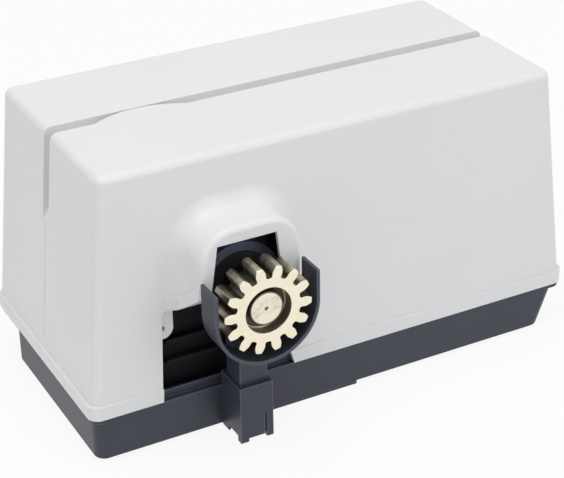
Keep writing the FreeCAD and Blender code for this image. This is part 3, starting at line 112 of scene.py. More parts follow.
# %% Camera
VIEW_AZIMUTH = math.radians(-27.754)
VIEW_ELEVATION = math.radians(28.602)
VIEW_ROLL = math.radians(-0.962)
CAMERA_PLACE = Vector((-504.32, -946.07, 669.57)) * MM
lens = bpy.data.cameras.new("catalogue_lens")
lens.lens = 108.2
lens.sensor_width = 36.0
lens.clip_end = 50.0
camera = bpy.data.objects.new("catalogue_camera", lens)
swing = Matrix.Rotation(VIEW_AZIMUTH, 4, "Z")
nod = Matrix.Rotation(math.pi / 2 - VIEW_ELEVATION, 4, "X")
tilt = Matrix.Rotation(VIEW_ROLL, 4, "Z")
camera.matrix_world = Matrix.Translation(CAMERA_PLACE) @ swing @ nod @ tilt
bpy.context.scene.collection.objects.link(camera)
bpy.context.scene.camera = camera
bpy.context.scene.view_settings.view_transform = "Standard"
print("camera at", tuple(round(value, 3) for value in CAMERA_PLACE))

# %% [markdown]
# ## Arithmetic on shader sockets
#
# A procedural finish is mostly arithmetic on patterns, and a node graph hides it in boxes and
# wires. This small class wraps a socket so that `0.3 + 0.1 * grain` adds the two Math nodes by
# itself. `Finish` holds one material: `add` makes any node, sets it up and wires it, and `mix`
# and `bump` are the two nodes that nearly every finish ends with. Numbers that are the same all
# over a surface go straight onto the shader.

# %% Signal and Finish
class Signal:
    """An output socket that takes part in sums."""

    def __init__(self, finish, socket):
        self.finish = finish
        self.socket = socket

    def __add__(self, other):
        return self.finish.maths("ADD", self, other)

    def __rsub__(self, other):
        return self.finish.maths("SUBTRACT", other, self)

    def __mul__(self, other):
        return self.finish.maths("MULTIPLY", self, other)

    __radd__ = __add__
    __rmul__ = __mul__


class Finish:
    """One material, with its Principled shader's constants set."""

    def __init__(self, name, colour, roughness, constants=None):
        self.material = bpy.data.materials.new(name)
        self.material.use_nodes = True
        self.tree = self.material.node_tree
        self.shader = self.tree.nodes["Principled BSDF"]
        self.set_colour((*colour, 1.0))
        self.shader.inputs["Roughness"].default_value = roughness
        for socket, value in (constants or {}).items():
            self.shader.inputs[socket].default_value = value
        self.place = self.add("TexCoord", output="Object")

    def add(self, kind, settings=None, inputs=None, output=0):
        """Make a node of this kind, set it up, feed its inputs and return one output."""
        node = self.tree.nodes.new("ShaderNode" + kind)
        for name, value in (settings or {}).items():
            setattr(node, name, value)
        for name, value in (inputs or {}).items():
            self.join(value, node.inputs[name])
        return Signal(self, node.outputs[output])

    def join(self, value, socket):
        if isinstance(value, Signal):
            self.tree.links.new(value.socket, socket)
        else:
            socket.default_value = value

    def maths(self, operation, first, second):
        return self.add("Math", {"operation": operation}, {0: first, 1: second})

    def set_colour(self, colour):
        self.join(colour, self.shader.inputs["Base Color"])

    def set(self, socket, value):
        self.join(value, self.shader.inputs[socket])

    def mix(self, factor, first, second):
        """From the first colour to the second as the factor goes from 0 to 1."""
        as_colour = [value if isinstance(value, Signal) else (*value, 1.0)
                     for value in (first, second)]
        return self.add("Mix", {"data_type": "RGBA"}, {0: factor, 6: as_colour[0], 7: as_colour[1]},
                        output=2)

    def noise(self, scale, detail=2.0, roughness=0.5):
        return self.add("TexNoise", None, {"Vector": self.place, "Scale": scale,
                                           "Detail": detail, "Roughness": roughness})

    def between(self, value, low, high):
        """0 below low, 1 above high and a smooth rise between them."""
        return self.add("MapRange", {"interpolation_type": "SMOOTHSTEP"},
                        {0: value, 1: low, 2: high, 3: 0.0, 4: 1.0})

    def bump(self, height, distance):
        """Raise the surface by the height, in metres of distance."""
        self.set("Normal", self.add("Bump", None, {"Height": height, "Distance": distance,
                                                   "Strength": 1.0}))


print("socket arithmetic ready")

# %% [markdown]
# ## Lighter edges
#
# Edges of the charcoal plastics are painted lighter than their faces, a painted highlight, and
# the casting's edges are paler where its paint is worn. Geometry's Pointiness would need a very
# fine mesh. The Bevel node gives the same answer on a coarse one: it rounds the normal near an
# edge, and the dot product of that normal with the true one falls below 1 there and nowhere else.

# %% Edge mask
def edge_mask(finish, radius):
    """About 1 within the radius of an edge, 0 on open faces."""
    rounded = finish.add("Bevel", {"samples": 4}, {"Radius": radius})
    true = finish.add("NewGeometry", output="Normal")
    agree = finish.add("VectorMath", {"operation": "DOT_PRODUCT"}, {0: rounded, 1: true},
                       output="Value")
    return finish.between(1.0 - agree, 0.01, 0.12)


print("edge mask ready")

# %% [markdown]
# ## Moulded plastics
#
# The cover is a satin white thermoplastic, and the base, guard and socket are a charcoal one. Both
# come out of a tool whose surface was etched, so a very fine grain breaks up the highlights. A
# slow noise shifts the roughness a little across the big panels, which stops them from looking
# like paper. The grain is only a bump, far too fine to model. Every plain plastic is one row of
# a table: its colour, the tint it drifts to, its roughness, and the grain's scale and height.

# %% Plastic finishes
def moulded_plastic(name, colour, tint, roughness, grain_scale, grain_height):
    """Etched plastic: a fine grain, a slow drift of shade and gloss, and faint specks."""
    finish = Finish(name, colour, roughness, {"IOR": 1.47})
    slow = finish.noise(9.0, 3.0)
    fine = finish.noise(grain_scale, 2.0, 0.6)
    specks = finish.noise(grain_scale * 0.35, 1.0)
    shade = finish.between(slow, 0.35, 0.7) * 0.5 + finish.between(specks, 0.45, 0.75) * 0.2
    finish.set_colour(finish.mix(shade, colour, tint))
    finish.set("Roughness", roughness - 0.05 + 0.1 * slow + 0.06 * fine)
    finish.bump(fine, grain_height)
    return finish


PLASTICS = {
    "cover_plastic": ((0.757, 0.761, 0.774), (0.727, 0.732, 0.745), 0.36, 2600.0, 0.00002),
    "tray_plastic": ((0.14, 0.15, 0.17), (0.12, 0.13, 0.15), 0.5, 1800.0, 0.00004),
    "lever_plastic": ((0.45, 0.035, 0.02), (0.36, 0.025, 0.015), 0.4, 1500.0, 0.00003),
    "gland_plastic": ((0.02, 0.02, 0.022), (0.03, 0.03, 0.032), 0.45, 1800.0, 0.00003),
    "terminal_plastic": ((0.05, 0.28, 0.09), (0.04, 0.22, 0.07), 0.4, 1500.0, 0.00002),
    "relay_case": ((0.02, 0.021, 0.024), (0.03, 0.03, 0.034), 0.3, 1800.0, 0.00002)}
finishes = {name: moulded_plastic(name, *recipe) for name, recipe in PLASTICS.items()}

# Where the base's walls and floor end on the inside, and how softly the painted shade starts there.
FRONT_WALL = -0.0715
WALL, FADE = 0.014, 0.002
FLOOR_TOP = 0.005


def inside_base(finish):
    """About 1 in the room between the base's walls, where the inside is painted dark as painted shade.
    """
    low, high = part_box("base")
    axes = finish.add("SeparateXYZ", None, {0: finish.place}).socket.node.outputs
    x, y, z = (Signal(finish, axes[name]) for name in "XYZ")
    left = finish.between(x, low.x + WALL, low.x + WALL + FADE)
    right = 1.0 - finish.between(x, high.x - WALL - FADE, high.x - WALL)
    front = finish.between(y, FRONT_WALL, FRONT_WALL + FADE)
    rear = 1.0 - finish.between(y, high.y - WALL - FADE, high.y - WALL)
    above_floor = finish.between(z, FLOOR_TOP - FADE, FLOOR_TOP)
    return left * right * front * rear * above_floor


# How far from an edge the painted highlight reaches.
EDGE_HIGHLIGHT_WIDTH = 0.0016


def charcoal_plastic(name, colour, tint, roughness):
    """The tougher plastic of the base and guard: a painted highlight on its edges, painted shade
    inside.
    """
    finish = moulded_plastic(name, colour, tint, roughness, 1400.0, 0.00005)
    edges = edge_mask(finish, EDGE_HIGHLIGHT_WIDTH)
    plain = finish.mix(finish.noise(14.0, 3.0), colour, tint)
    # Painted highlight: the edges are painted several times lighter than the faces.
    edge_highlight = tuple(min(1.0, value * 3.2 + 0.03) for value in colour)
    shaded_inside = tuple(value * 0.22 for value in colour)
    highlighted = finish.mix(edges * 0.9, plain, edge_highlight)
    # Painted shade: the inside of the base is darkened to near black.
    finish.set_colour(finish.mix(inside_base(finish), highlighted, shaded_inside))
    return finish


finishes["base_plastic"] = charcoal_plastic("base_plastic", (0.029, 0.034, 0.050),
                                            (0.038, 0.044, 0.061), 0.40)
print(len(finishes), "plastic finishes")

# %% [markdown]
# ## Metals
#
# The pinion is steel with a yellow zinc plating, pale gold, painted browner on the tooth flanks
# and, as painted shade, down in the tooth gaps, with a mottled stain over both. The face was turned
# on a lathe, so very fine rings run round the shaft's line. Rings need a distance from that line.
# Subtracting a point of the line and multiplying the coordinate along it by 0 leaves a vector
# straight across, and its length is the radius.

# %% Metal finishes
def radius_from(finish, centre, across):
    """Distance from a line through the centre; across names the coordinates to use."""
    moved = finish.add("VectorMath", {"operation": "SUBTRACT"}, {0: finish.place, 1: tuple(centre)})
    keep = tuple(1.0 if axis in across else 0.0 for axis in "xyz")
    flat = finish.add("VectorMath", {"operation": "MULTIPLY"}, {0: moved, 1: keep})
    return finish.add("VectorMath", {"operation": "LENGTH"}, {0: flat}, output="Value")


def turned_metal(name, colour, dark, roughness, centre, across, ring=0.0003):
    """Metal cut on a lathe: fine rings about a line, a little stain and soft smears."""
    finish = Finish(name, colour, roughness, {"Metallic": 1.0})
    radius = radius_from(finish, centre, across)
    wander = finish.noise(60.0, 2.0)
    rings = finish.maths("SINE", radius * (2 * math.pi / ring) + wander * 3.0, 0.0)
    stain = finish.between(finish.noise(120.0, 4.0, 0.6), 0.5, 0.8)
    finish.set_colour(finish.mix(stain * 0.5, colour, dark))
    finish.set("Roughness", roughness + 0.12 * wander + 0.04 * rings)
    finish.bump(rings * 0.5 + finish.noise(900.0, 2.0) * 0.4, 0.000012)
    return finish


RECESS_RADIUS = 0.0165
DARK_RIM_FROM = 0.0108
# A near-black brown for grease and painted shade in the pinion's recess and round the shaft's end.
GREASE_AND_SHADE = (0.030, 0.024, 0.017)


def pinion_finish():
    """Yellow zinc on cut steel: painted shade in the tooth gaps, browner flanks, and a dark ring of
    grease and painted shade in its recess.
    """
    gold, brown = (0.93, 0.86, 0.69), (0.19, 0.185, 0.125)
    # Shares of the tip radius where the painted shade in the tooth gaps is full and where it ends.
    gap_shade_full, gap_shade_gone = 0.80, 0.97
    shelter_width, recess_edge, dark_depth = 0.0025, 0.0008, 0.0025
    finish = turned_metal("pinion_steel", gold, brown, 0.30, output_line, "xz")
    radius = radius_from(finish, output_line, "xz")
    low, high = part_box("pinion")
    tip = (high.x - low.x) / 2
    depth = 1.0 - finish.between(radius, tip * gap_shade_full, tip * gap_shade_gone)
    normal = finish.add("NewGeometry", output="Normal")
    axial = finish.add("VectorMath", {"operation": "DOT_PRODUCT"}, {0: normal, 1: (0.0, -1.0, 0.0)},
                       output="Value")
    side = 1.0 - finish.between(axial, 0.3, 0.8)
    mottle = finish.between(finish.noise(150.0, 4.0, 0.65), 0.4, 0.75)
    shelter = finish.between(radius, RECESS_RADIUS, RECESS_RADIUS + shelter_width)
    # Painted shade in the tooth gaps and browner flanks, with a random mottled stain.
    shade_and_stain = (depth * side * 0.6 + side * (0.32 + mottle * 0.45)) * (0.4 + 0.6 * shelter)
    shade_and_stain = shade_and_stain + mottle * 0.08
    plated = finish.mix(finish.maths("MINIMUM", shade_and_stain, 1.0), gold, brown)
    along = finish.add("SeparateXYZ", None, {0: finish.place}, output="Y")
    in_recess = 1.0 - finish.between(radius, RECESS_RADIUS - recess_edge, RECESS_RADIUS)
    behind_face = finish.between(along, low.y + dark_depth, low.y + dark_depth + 0.0020)
    # Grease and painted shade: the recess behind the face is darkened to a dark ring.
    finish.set_colour(finish.mix(in_recess * behind_face * 0.93, plated, GREASE_AND_SHADE))
    return finish


def shaft_finish():
    """Bright turned steel whose end has a dark ring at its rim, of grease and painted shade."""
    bright, tarnish = (0.86, 0.81, 0.68), (0.46, 0.42, 0.31)
    finish = turned_metal("shaft_steel", bright, tarnish, 0.30, output_line, "xz")
    radius = radius_from(finish, output_line, "xz")
    stain = finish.between(finish.noise(160.0, 4.0, 0.6), 0.45, 0.8)
    end_face = finish.mix(stain * 0.6, bright, tarnish)
    ring = finish.between(radius, DARK_RIM_FROM, DARK_RIM_FROM + 0.0005)
    # Grease and painted shade: a dark ring round the rim of the shaft's end.
    finish.set_colour(finish.mix(ring * 0.9, end_face, GREASE_AND_SHADE))
    return finish


finishes["pinion_steel"] = pinion_finish()
finishes["shaft_steel"] = shaft_finish()
TURNED_METALS = {
    "bearing_steel": ((0.72, 0.72, 0.73), (0.5, 0.5, 0.5), 0.16, output_line, "xz"),
    "wheel_bronze": ((0.70, 0.44, 0.18), (0.36, 0.20, 0.08), 0.3, output_line, "xz"),
    "spring_steel": ((0.06, 0.052, 0.045), (0.03, 0.026, 0.02), 0.35, output_line, "xz"),
    "zinc_steel": ((0.66, 0.67, 0.68), (0.45, 0.45, 0.44), 0.3, output_line, "xz", 0.0005),
    "capacitor_can": ((0.74, 0.75, 0.76), (0.6, 0.6, 0.6), 0.32, motor_line, "yz", 0.0006),
    "motor_alloy": ((0.56, 0.57, 0.59), (0.38, 0.39, 0.4), 0.42, motor_line, "yz", 0.0008)}
for name, recipe in TURNED_METALS.items():
    finishes[name] = turned_metal(name, *recipe)
print("rings turn about", tuple(round(value, 3) for value in output_line))

# %% [markdown]
# ## Castings, laminations, copper and board
#
# The gearbox is cast and painted a dark blue grey, and a casting is never quite smooth, so its
# bump is coarse and soft. Its lower part is painted near black as painted shade. Steel
# laminations and copper windings show lines: the stack's sheets stand square to the motor's line,
# and the wires run round it. Wave textures draw both.

# %% Other finishes
# Heights where the casting's painted shade is full and where it ends.
SHADE_FULL_BELOW, SHADE_GONE_ABOVE = 0.100, 0.128


def painted_casting(name, colour, roughness):
    """Dark paint on a rough casting: paler at its edges, and painted near black low down as painted
    shade.
    """
    finish = Finish(name, colour, roughness, {"IOR": 1.5, "Specular IOR Level": 0.2})
    lumps = finish.noise(260.0, 4.0, 0.6)
    wear = edge_mask(finish, 0.0010)
    lighter = tuple(value * 2.5 + 0.02 for value in colour)
    painted = finish.mix(wear * 0.5 + finish.between(lumps, 0.55, 0.8) * 0.2, colour, lighter)
    # Painted shade: the casting's lower part darkens to near black.
    shaded_low = tuple(value * 0.05 for value in colour)
    height = finish.add("SeparateXYZ", None, {0: finish.place}, output="Z")
    low_shade = 1.0 - finish.between(height, SHADE_FULL_BELOW, SHADE_GONE_ABOVE)
    finish.set_colour(finish.mix(low_shade, painted, shaded_low))
    finish.set("Roughness", roughness + 0.2 * lumps)
    finish.bump(lumps, 0.00035)
    return finish


WAVE_PERIOD = 0.314


def lined_metal(name, colour, dark, roughness, spacing):
    """Metal made of sheets or wires that lie side by side along the motor's line."""
    finish = Finish(name, colour, roughness, {"Metallic": 1.0})
    lines = finish.add("TexWave", {"wave_type": "BANDS", "bands_direction": "X"},
                       {"Vector": finish.place, "Scale": WAVE_PERIOD / spacing,
                        "Distortion": 0.6, "Detail": 1.0, "Detail Scale": 0.4}, output="Fac")
    gap = 1.0 - finish.between(lines, 0.05, 0.5)
    finish.set_colour(finish.mix(gap * 0.7 + finish.noise(200.0) * 0.15, colour, dark))
    finish.set("Roughness", roughness + 0.15 * gap)
    finish.bump(lines, 0.00015)
    return finish


def seal_rubber():
    """Black rubber with a little pale dust."""
    black, dusty = (0.018, 0.018, 0.019), (0.09, 0.085, 0.08)
    finish = Finish("seal_rubber", black, 0.62)
    dust = finish.between(finish.noise(90.0, 4.0, 0.6), 0.55, 0.8)
    finish.set_colour(finish.mix(dust * 0.3, black, dusty))
    finish.bump(finish.noise(1500.0), 0.00004)
    return finish


def board_laminate():
    """Green solder mask over copper tracks, which stand a little proud."""
    mask, over_copper = (0.02, 0.17, 0.07), (0.06, 0.30, 0.12)
    finish = Finish("board_laminate", mask, 0.25, {"Coat Weight": 0.4})
    tracks = finish.add("TexBrick", {"offset": 0.35, "squash": 1.6},
                        {"Vector": finish.place, "Scale": 140.0, "Mortar Size": 0.02,
                         "Mortar Smooth": 0.1, "Brick Width": 0.9, "Row Height": 0.28},
                        output="Fac")
    finish.set_colour(finish.mix(tracks * 0.6, mask, over_copper))
    finish.set("Roughness", 0.22 + 0.1 * finish.noise(200.0))
    finish.bump(tracks, 0.00005)
    return finish


finishes["casting_paint"] = painted_casting("casting_paint", (0.125, 0.145, 0.200), 0.52)
finishes["lamination_steel"] = lined_metal("lamination_steel", (0.33, 0.33, 0.35),
                                           (0.12, 0.11, 0.11), 0.4, 0.0010)
finishes["copper_winding"] = lined_metal("copper_winding", (0.62, 0.24, 0.10),
                                         (0.22, 0.07, 0.03), 0.3, 0.0012)
finishes["seal_rubber"] = seal_rubber()
finishes["board_laminate"] = board_laminate()
print(len(finishes), "finishes:", ", ".join(sorted(finishes)))

# %% [markdown]
# ## Dress the nodes
#
# Each node of the frame names a material slot in the record, so the right finish is found by
# that name. A slot without a finish stops the script here.

# %% Finishes onto nodes
slot_of = {part["node"]: part["material_slot"] for part in frame["record"]["subparts"]}
for name, thing in nodes.items():
    thing.data.materials.clear()
    thing.data.materials.append(finishes[slot_of[name]].material)
print("dressed", len(nodes), "nodes")

# %% [markdown]
# ## Softer twins of the nodes
#
# A node's mesh is loose triangles, so its round corners look cut from flat pieces. A twin is a
# copy whose triangles are merged, whose flat faces are joined again and whose shading is smooth
# across small angles. A Bevel modifier then gives every hard edge a tiny radius, because no
# moulded or cut edge is perfectly sharp, and that radius is what catches the light. The twin
# stands for its node.
#
# The cover's twin also gets one change of form: the hood's lower rim, level in the frame, climbs
# towards the front on the left side, and the window's lip fades in instead of starting square.

# %% Twin
TWIN_SHARP = math.radians(32.0)
FLAT_WITHIN = math.radians(0.4)
WINDOW_TOP = 0.1015
HOOD_LEFT, HOOD_FRONT = -0.118, -0.0990
RIM_LEFT_OF = -0.108
RAKE_FROM, RAKE = -0.0757, 0.017
LIP_END, LIP_FADE = -0.131, -0.1235
LIP_TOP, LIP_FRONT = 0.112, -0.0745


def rake_at(along):
    """How far the hood's lower rim has risen at this depth."""
    return RAKE * min(1.0, max(0.0, (RAKE_FROM - along) / (RAKE_FROM - HOOD_FRONT)))


def rake_hood(mesh):
    """Raise the hood's lower left rim towards the front, and fade the window's lip in."""
    for vert in mesh.verts:
        place = vert.co
        on_rim = abs(place.z - WINDOW_TOP) < 0.0006 and place.x < RIM_LEFT_OF
        if on_rim and place.y < RAKE_FROM:
            place.z += rake_at(place.y)
        on_lip_end = abs(place.x - LIP_END) < 0.0003 and place.y < LIP_FRONT
        if on_lip_end and WINDOW_TOP - 0.0005 < place.z < LIP_TOP:
            place.x = LIP_FADE


def smooth_object(mesh, name, slot, sharp_angle):
    """Turn a bmesh into a softly shaded object with the slot's finish."""
    data = bpy.data.meshes.new(name)
    mesh.to_mesh(data)
    mesh.free()
    data.materials.append(finishes[slot].material)
    data.shade_smooth()
    data.set_sharp_from_angle(angle=sharp_angle)
    thing = bpy.data.objects.new(name, data)
    bpy.context.scene.collection.objects.link(thing)
    return thing


def twin_of(name, edge_radius):
    """A merged, softly shaded copy of a node, with its hard edges rounded a little."""
    mesh = bmesh.new()
    mesh.from_mesh(nodes[name].data)
    bmesh.ops.remove_doubles(mesh, verts=mesh.verts, dist=0.000002)
    bmesh.ops.dissolve_limit(mesh, angle_limit=FLAT_WITHIN, verts=mesh.verts, edges=mesh.edges,
                             delimit={"NORMAL"})
    if name == "cover":
        rake_hood(mesh)
    twin = smooth_object(mesh, name + "_form", slot_of[name], TWIN_SHARP)
    if edge_radius:
        bevel = twin.modifiers.new("edge_radius", "BEVEL")
        bevel.width = edge_radius
        bevel.segments = 2
        bevel.limit_method = "ANGLE"
        bevel.angle_limit = TWIN_SHARP
        bevel.harden_normals = False
        bevel.use_clamp_overlap = True
        weighted = twin.modifiers.new("even_shading", "WEIGHTED_NORMAL")
        weighted.keep_sharp = True
    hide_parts(name)
    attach(twin, nodes[name]["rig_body"])
    return twin


EDGE_RADII = {
    "cover": 0.0004, "base": 0.0006, "pinion": 0.00015, "pinion_guard": 0.0004,
    "guard_socket": 0.0004, "gearbox_housing": 0.0008, "output_shaft": 0.0004,
    "gearbox_lid": 0.0005, "lid_gasket": 0.0, "board_tray": 0.0003, "cover_screws": 0.0002,
    "lid_screws": 0.0002, "gearbox_bolts": 0.0003, "release_lever": 0.0009,
    "release_spindle": 0.0004, "limit_sensor": 0.0004, "cable_gland": 0.0003,
    "transformer_core": 0.0002, "capacitor_clip": 0.0002, "fuse_holder": 0.0004,
    "board_relays": 0.0005, "terminal_blocks": 0.0002, "radio_receiver": 0.0002,
    "control_board": 0.0001, "motor_flange": 0.0004, "motor_end_bell": 0.0005,
    "motor_housing": 0.0, "worm_wheel": 0.0, "worm_shaft": 0.0, "rotor_core": 0.0003,
    "stator_core": 0.0, "shaft_seal": 0.0003, "pinion_key": 0.0002, "wheel_key": 0.0002}
twins = {name: twin_of(name, radius) for name, radius in EDGE_RADII.items()}
print(len(twins), "twins")

# %% [markdown]
# ## Turned pieces
#
# Rings, cans and windings are all shapes that a lathe could make. Half of the section is drawn
# as a closed loop of points, each one a place along the line and a radius, and `spin` carries it
# once round. With `use_merge` the last copy joins the first, so the ring closes. Points on the
# line itself fall together, and `remove_doubles` makes one pole of them. The side that runs along
# the line is then left as an edge without faces, and it is deleted.

# %% Lathe
TURN_TO = {"X": Matrix.Identity(4), "Y": Matrix.Rotation(math.pi / 2, 4, "Z"),
           "Z": Matrix.Rotation(-math.pi / 2, 4, "Y")}
PIECE_SHARP = math.radians(35.0)


def spun(mesh, profile, steps=64):
    """Add a closed section of (along, radius) points, spun about the X axis, to a mesh."""
    corners = [mesh.verts.new((along, 0.0, radius)) for along, radius in profile]
    sides = [mesh.edges.new(pair) for pair in zip(corners, corners[1:] + corners[:1])]
    bmesh.ops.spin(mesh, geom=corners + sides, cent=(0, 0, 0), axis=(1, 0, 0), dvec=(0, 0, 0),
                   angle=2 * math.pi, steps=steps, use_merge=True)


def add_into(mesh, part):
    """Copy one bmesh into another, and free it."""
    data = bpy.data.meshes.new("part")
    part.to_mesh(data)
    part.free()
    mesh.from_mesh(data)
    bpy.data.meshes.remove(data)


def finished_piece(mesh, name, direction, place, slot, body, stands_for=()):
    """Weld, turn and place a mesh, and hand it to the frame as a piece."""
    bmesh.ops.remove_doubles(mesh, verts=mesh.verts, dist=0.000005)
    loose = [edge for edge in mesh.edges if not edge.link_faces]
    bmesh.ops.delete(mesh, geom=loose, context="EDGES")
    bmesh.ops.recalc_face_normals(mesh, faces=mesh.faces)
    bmesh.ops.transform(mesh, matrix=Matrix.Translation(place) @ TURN_TO[direction],
                        verts=mesh.verts)
    piece = smooth_object(mesh, name, slot, PIECE_SHARP)
    if stands_for:
        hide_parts(*stands_for)
    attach(piece, body)
    return piece


def middle_of(name):
    """The middle of a node's box, and the box's extent."""
    low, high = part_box(name)
    return (low + high) / 2, high - low


print("lathe ready")

# %% [markdown]
# ## The lip round the hood's foot
#
# The window's top has a raised lip, as mouldings have where an edge would otherwise be weak, and
# the lip runs on round the foot of the hood. Four corners make its section. They are extruded
# along the hood's side, and `spin` then carries them round the foot's inner radius to the wall.

# %% Hood lip
def hood_lip():
    """The raised edge along the hood's left foot, from its front to the wall."""
    tall, proud, sunk = 0.0100, 0.0014, 0.0010
    foot_radius, straight, foot_turn = 0.0120, 0.0139, math.radians(56)
    side_steps, foot_steps = 4, 8
    foot_centre = Vector((HOOD_LEFT - foot_radius, HOOD_FRONT + straight, 0.0))
    mesh = bmesh.new()
    corners = [mesh.verts.new((HOOD_LEFT + side, HOOD_FRONT, WINDOW_TOP + rise))
               for side, rise in ((sunk, 0.0), (-proud, 0.0), (-proud, tall), (sunk, tall))]
    edges = [mesh.edges.new(pair) for pair in zip(corners, corners[1:] + corners[:1])]
    for step in range(side_steps):
        made = bmesh.ops.extrude_edge_only(mesh, edges=edges)["geom"]
        bmesh.ops.translate(mesh, vec=(0.0, (foot_centre.y - HOOD_FRONT) / side_steps, 0.0),
                            verts=[part for part in made if isinstance(part, bmesh.types.BMVert)])
        edges = [part for part in made if isinstance(part, bmesh.types.BMEdge)
                 and not part.is_manifold and len(part.link_faces) == 1]
    ends = {vert for edge in edges for vert in edge.verts}
    bmesh.ops.spin(mesh, geom=list(ends) + edges, cent=foot_centre, axis=(0, 0, 1),
                   dvec=(0, 0, 0), angle=foot_turn, steps=foot_steps)
    bmesh.ops.holes_fill(mesh, edges=mesh.edges, sides=4)
    for vert in mesh.verts:
        vert.co.z += rake_at(vert.co.y)
    piece = finished_piece(mesh, "hood_lip", "X", Vector((0, 0, 0)), "cover_plastic", "root")
    soften = piece.modifiers.new("soft_lip", "BEVEL")
    soften.width = 0.0006
    soften.segments = 2
    soften.angle_limit = math.radians(40)
    return piece


hood_lip()
print("lip made")

# %% [markdown]
# ## Ball bearings
#
# A bearing is two grooved rings with balls between them, held apart by a thin cage. The frame
# keeps each one as a plain ring, so these stand for them. The outer size and the width come from
# the node's box, and the bore is the radius of the shaft that it carries and a hair more. Every
# other size is a share of the room between the two, as bearing makers proportion them as well.

# %% Bearings
BALLS = 9
BEARINGS = {"front_bearing": ("Y", 0.01204), "rear_bearing": ("Y", 0.01004),
            "worm_end_bearing": ("X", 0.00754), "worm_drive_bearing": ("X", 0.00854),
            "motor_rear_bearing": ("X", 0.00754)}


def ball_bearing(name, direction, bore):
    """Two grooved rings, the balls between them and the two rails of the cage."""
    middle_point, extent = middle_of(name)
    width = extent.x if direction == "X" else extent.y
    outer = max(extent) / 2
    gap = outer - bore
    pitch = (outer + bore) / 2
    ball = gap * 0.29
    half, chamfer = width / 2, 0.0004
    mesh = bmesh.new()
    for wall, face in ((outer, -1), (bore, 1)):
        land = wall + face * gap * 0.30
        groove = pitch - face * ball * 0.93
        edge = wall + face * chamfer
        spun(mesh, [(-half + chamfer, wall), (half - chamfer, wall), (half, edge), (half, land),
                    (ball * 0.6, land), (0.0, groove), (-ball * 0.6, land), (-half, land),
                    (-half, edge)])
    for place in range(BALLS):
        angle = 2 * math.pi * place / BALLS
        spot = Matrix.Translation((0.0, pitch * math.sin(angle), pitch * math.cos(angle)))
        bmesh.ops.create_uvsphere(mesh, u_segments=16, v_segments=10, radius=ball, matrix=spot)
    cage = ball * 0.3
    for side in (-1, 1):
        near, far = sorted((side * ball * 0.75, side * ball * 1.05))
        spun(mesh, [(near, pitch - cage), (far, pitch - cage), (far, pitch + cage),
                    (near, pitch + cage)])
    return finished_piece(mesh, name + "_form", direction, middle_point, "bearing_steel", "root",
                          (name,))


for name, (direction, bore) in BEARINGS.items():
    ball_bearing(name, direction, bore)
print(len(BEARINGS), "bearings with", BALLS, "balls each")

# %% [markdown]
# ## The retaining ring
#
# A spring ring snaps into a groove near the shaft's end and keeps the pinion on. It is open at
# the bottom, is widest at the top and ends in two eyes for the pliers. A strip of quads bent
# round an arc gives the band, with its width changing along the way, and `solidify` gives the
# strip its thickness. Each eye is a small ring made by the same lathe as the bearings.

# %% Retaining ring
def retaining_ring():
    """A band that widens away from its opening, with an eye at each end."""
    middle_point, extent = middle_of("pinion_retaining_ring")
    thick = extent.y
    groove_depth, thin_band, swell = 0.0010, 0.0016, 0.0014
    eye_hole, eye_radius, eye_out = 0.0005, 0.0015, 0.0014
    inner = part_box("output_shaft")[1].x - output_line.x - groove_depth
    opening = math.radians(24)
    steps = 48
    mesh = bmesh.new()
    rails = []
    for step in range(steps + 1):
        angle = opening + (2 * math.pi - 2 * opening) * step / steps
        belly = 0.5 - 0.5 * math.cos(2 * math.pi * step / steps)
        outer = inner + thin_band + swell * belly
        aim = Vector((math.sin(angle), 0.0, -math.cos(angle)))
        rails.append([mesh.verts.new(aim * radius) for radius in (inner, outer)])
    for (a, b), (d, c) in zip(rails, rails[1:]):
        mesh.faces.new((a, b, c, d))
    bmesh.ops.recalc_face_normals(mesh, faces=mesh.faces)
    bmesh.ops.solidify(mesh, geom=mesh.faces[:], thickness=thick)
    low = min(vert.co.y for vert in mesh.verts)
    bmesh.ops.translate(mesh, vec=(0.0, -thick / 2 - low, 0.0), verts=mesh.verts)
    for side in (-1, 1):
        eye = bmesh.new()
        spun(eye, [(-thick / 2, eye_hole), (thick / 2, eye_hole), (thick / 2, eye_radius),
                   (-thick / 2, eye_radius)], 20)
        angle = opening * 0.96
        spot = Vector((side * math.sin(angle), 0.0, -math.cos(angle))) * (inner + eye_out)
        bmesh.ops.transform(eye, matrix=Matrix.Translation(spot) @ TURN_TO["Y"], verts=eye.verts)
        add_into(mesh, eye)
    place = Vector((output_line.x, middle_point.y, output_line.z))
    return finished_piece(mesh, "pinion_retaining_ring_form", "X", place, "spring_steel",
                          nodes["pinion_retaining_ring"]["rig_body"], ("pinion_retaining_ring",))


retaining_ring()
print("retaining ring made")

# %% [markdown]
# ## Windings
#
# At each end of the stator the copper comes out of the slots and turns back, in one fat ring of
# overlapping loops. Each loop here is a bent bar, made by spinning a small round section part of
# the way about a line square to the motor's. A loop repeated round the ring covers its
# neighbour, as in a laced winding.

# %% Windings
LOOPS = 24
LOOP_LEAN = math.radians(24)
LOOP_STRETCH = 1.55


def winding_loop(mesh, centre_radius, reach, wire, angle):
    """One bent bundle that leaves the stack, goes round and comes back."""
    ring = bmesh.new()
    made = bmesh.ops.create_circle(ring, cap_ends=False, segments=8, radius=wire,
                                   matrix=Matrix.Rotation(math.pi / 2, 4, "Y")
                                   @ Matrix.Translation((0.0, -reach * 0.62, 0.0)))
    circle = made["verts"] + ring.edges[:]
    bmesh.ops.spin(ring, geom=circle, cent=(0, 0, 0), axis=(0, 0, 1), dvec=(0, 0, 0),
                   angle=-math.pi, steps=10, use_merge=False)
    bmesh.ops.holes_fill(ring, edges=ring.edges, sides=8)
    bmesh.ops.scale(ring, vec=(LOOP_STRETCH, 1.0, 1.0), verts=ring.verts)
    place = Matrix.Rotation(angle, 4, "X") @ Matrix.Translation((0.0, 0.0, centre_radius)) \
        @ Matrix.Rotation(LOOP_LEAN, 4, "X")
    bmesh.ops.transform(ring, matrix=place, verts=ring.verts)
    add_into(mesh, ring)


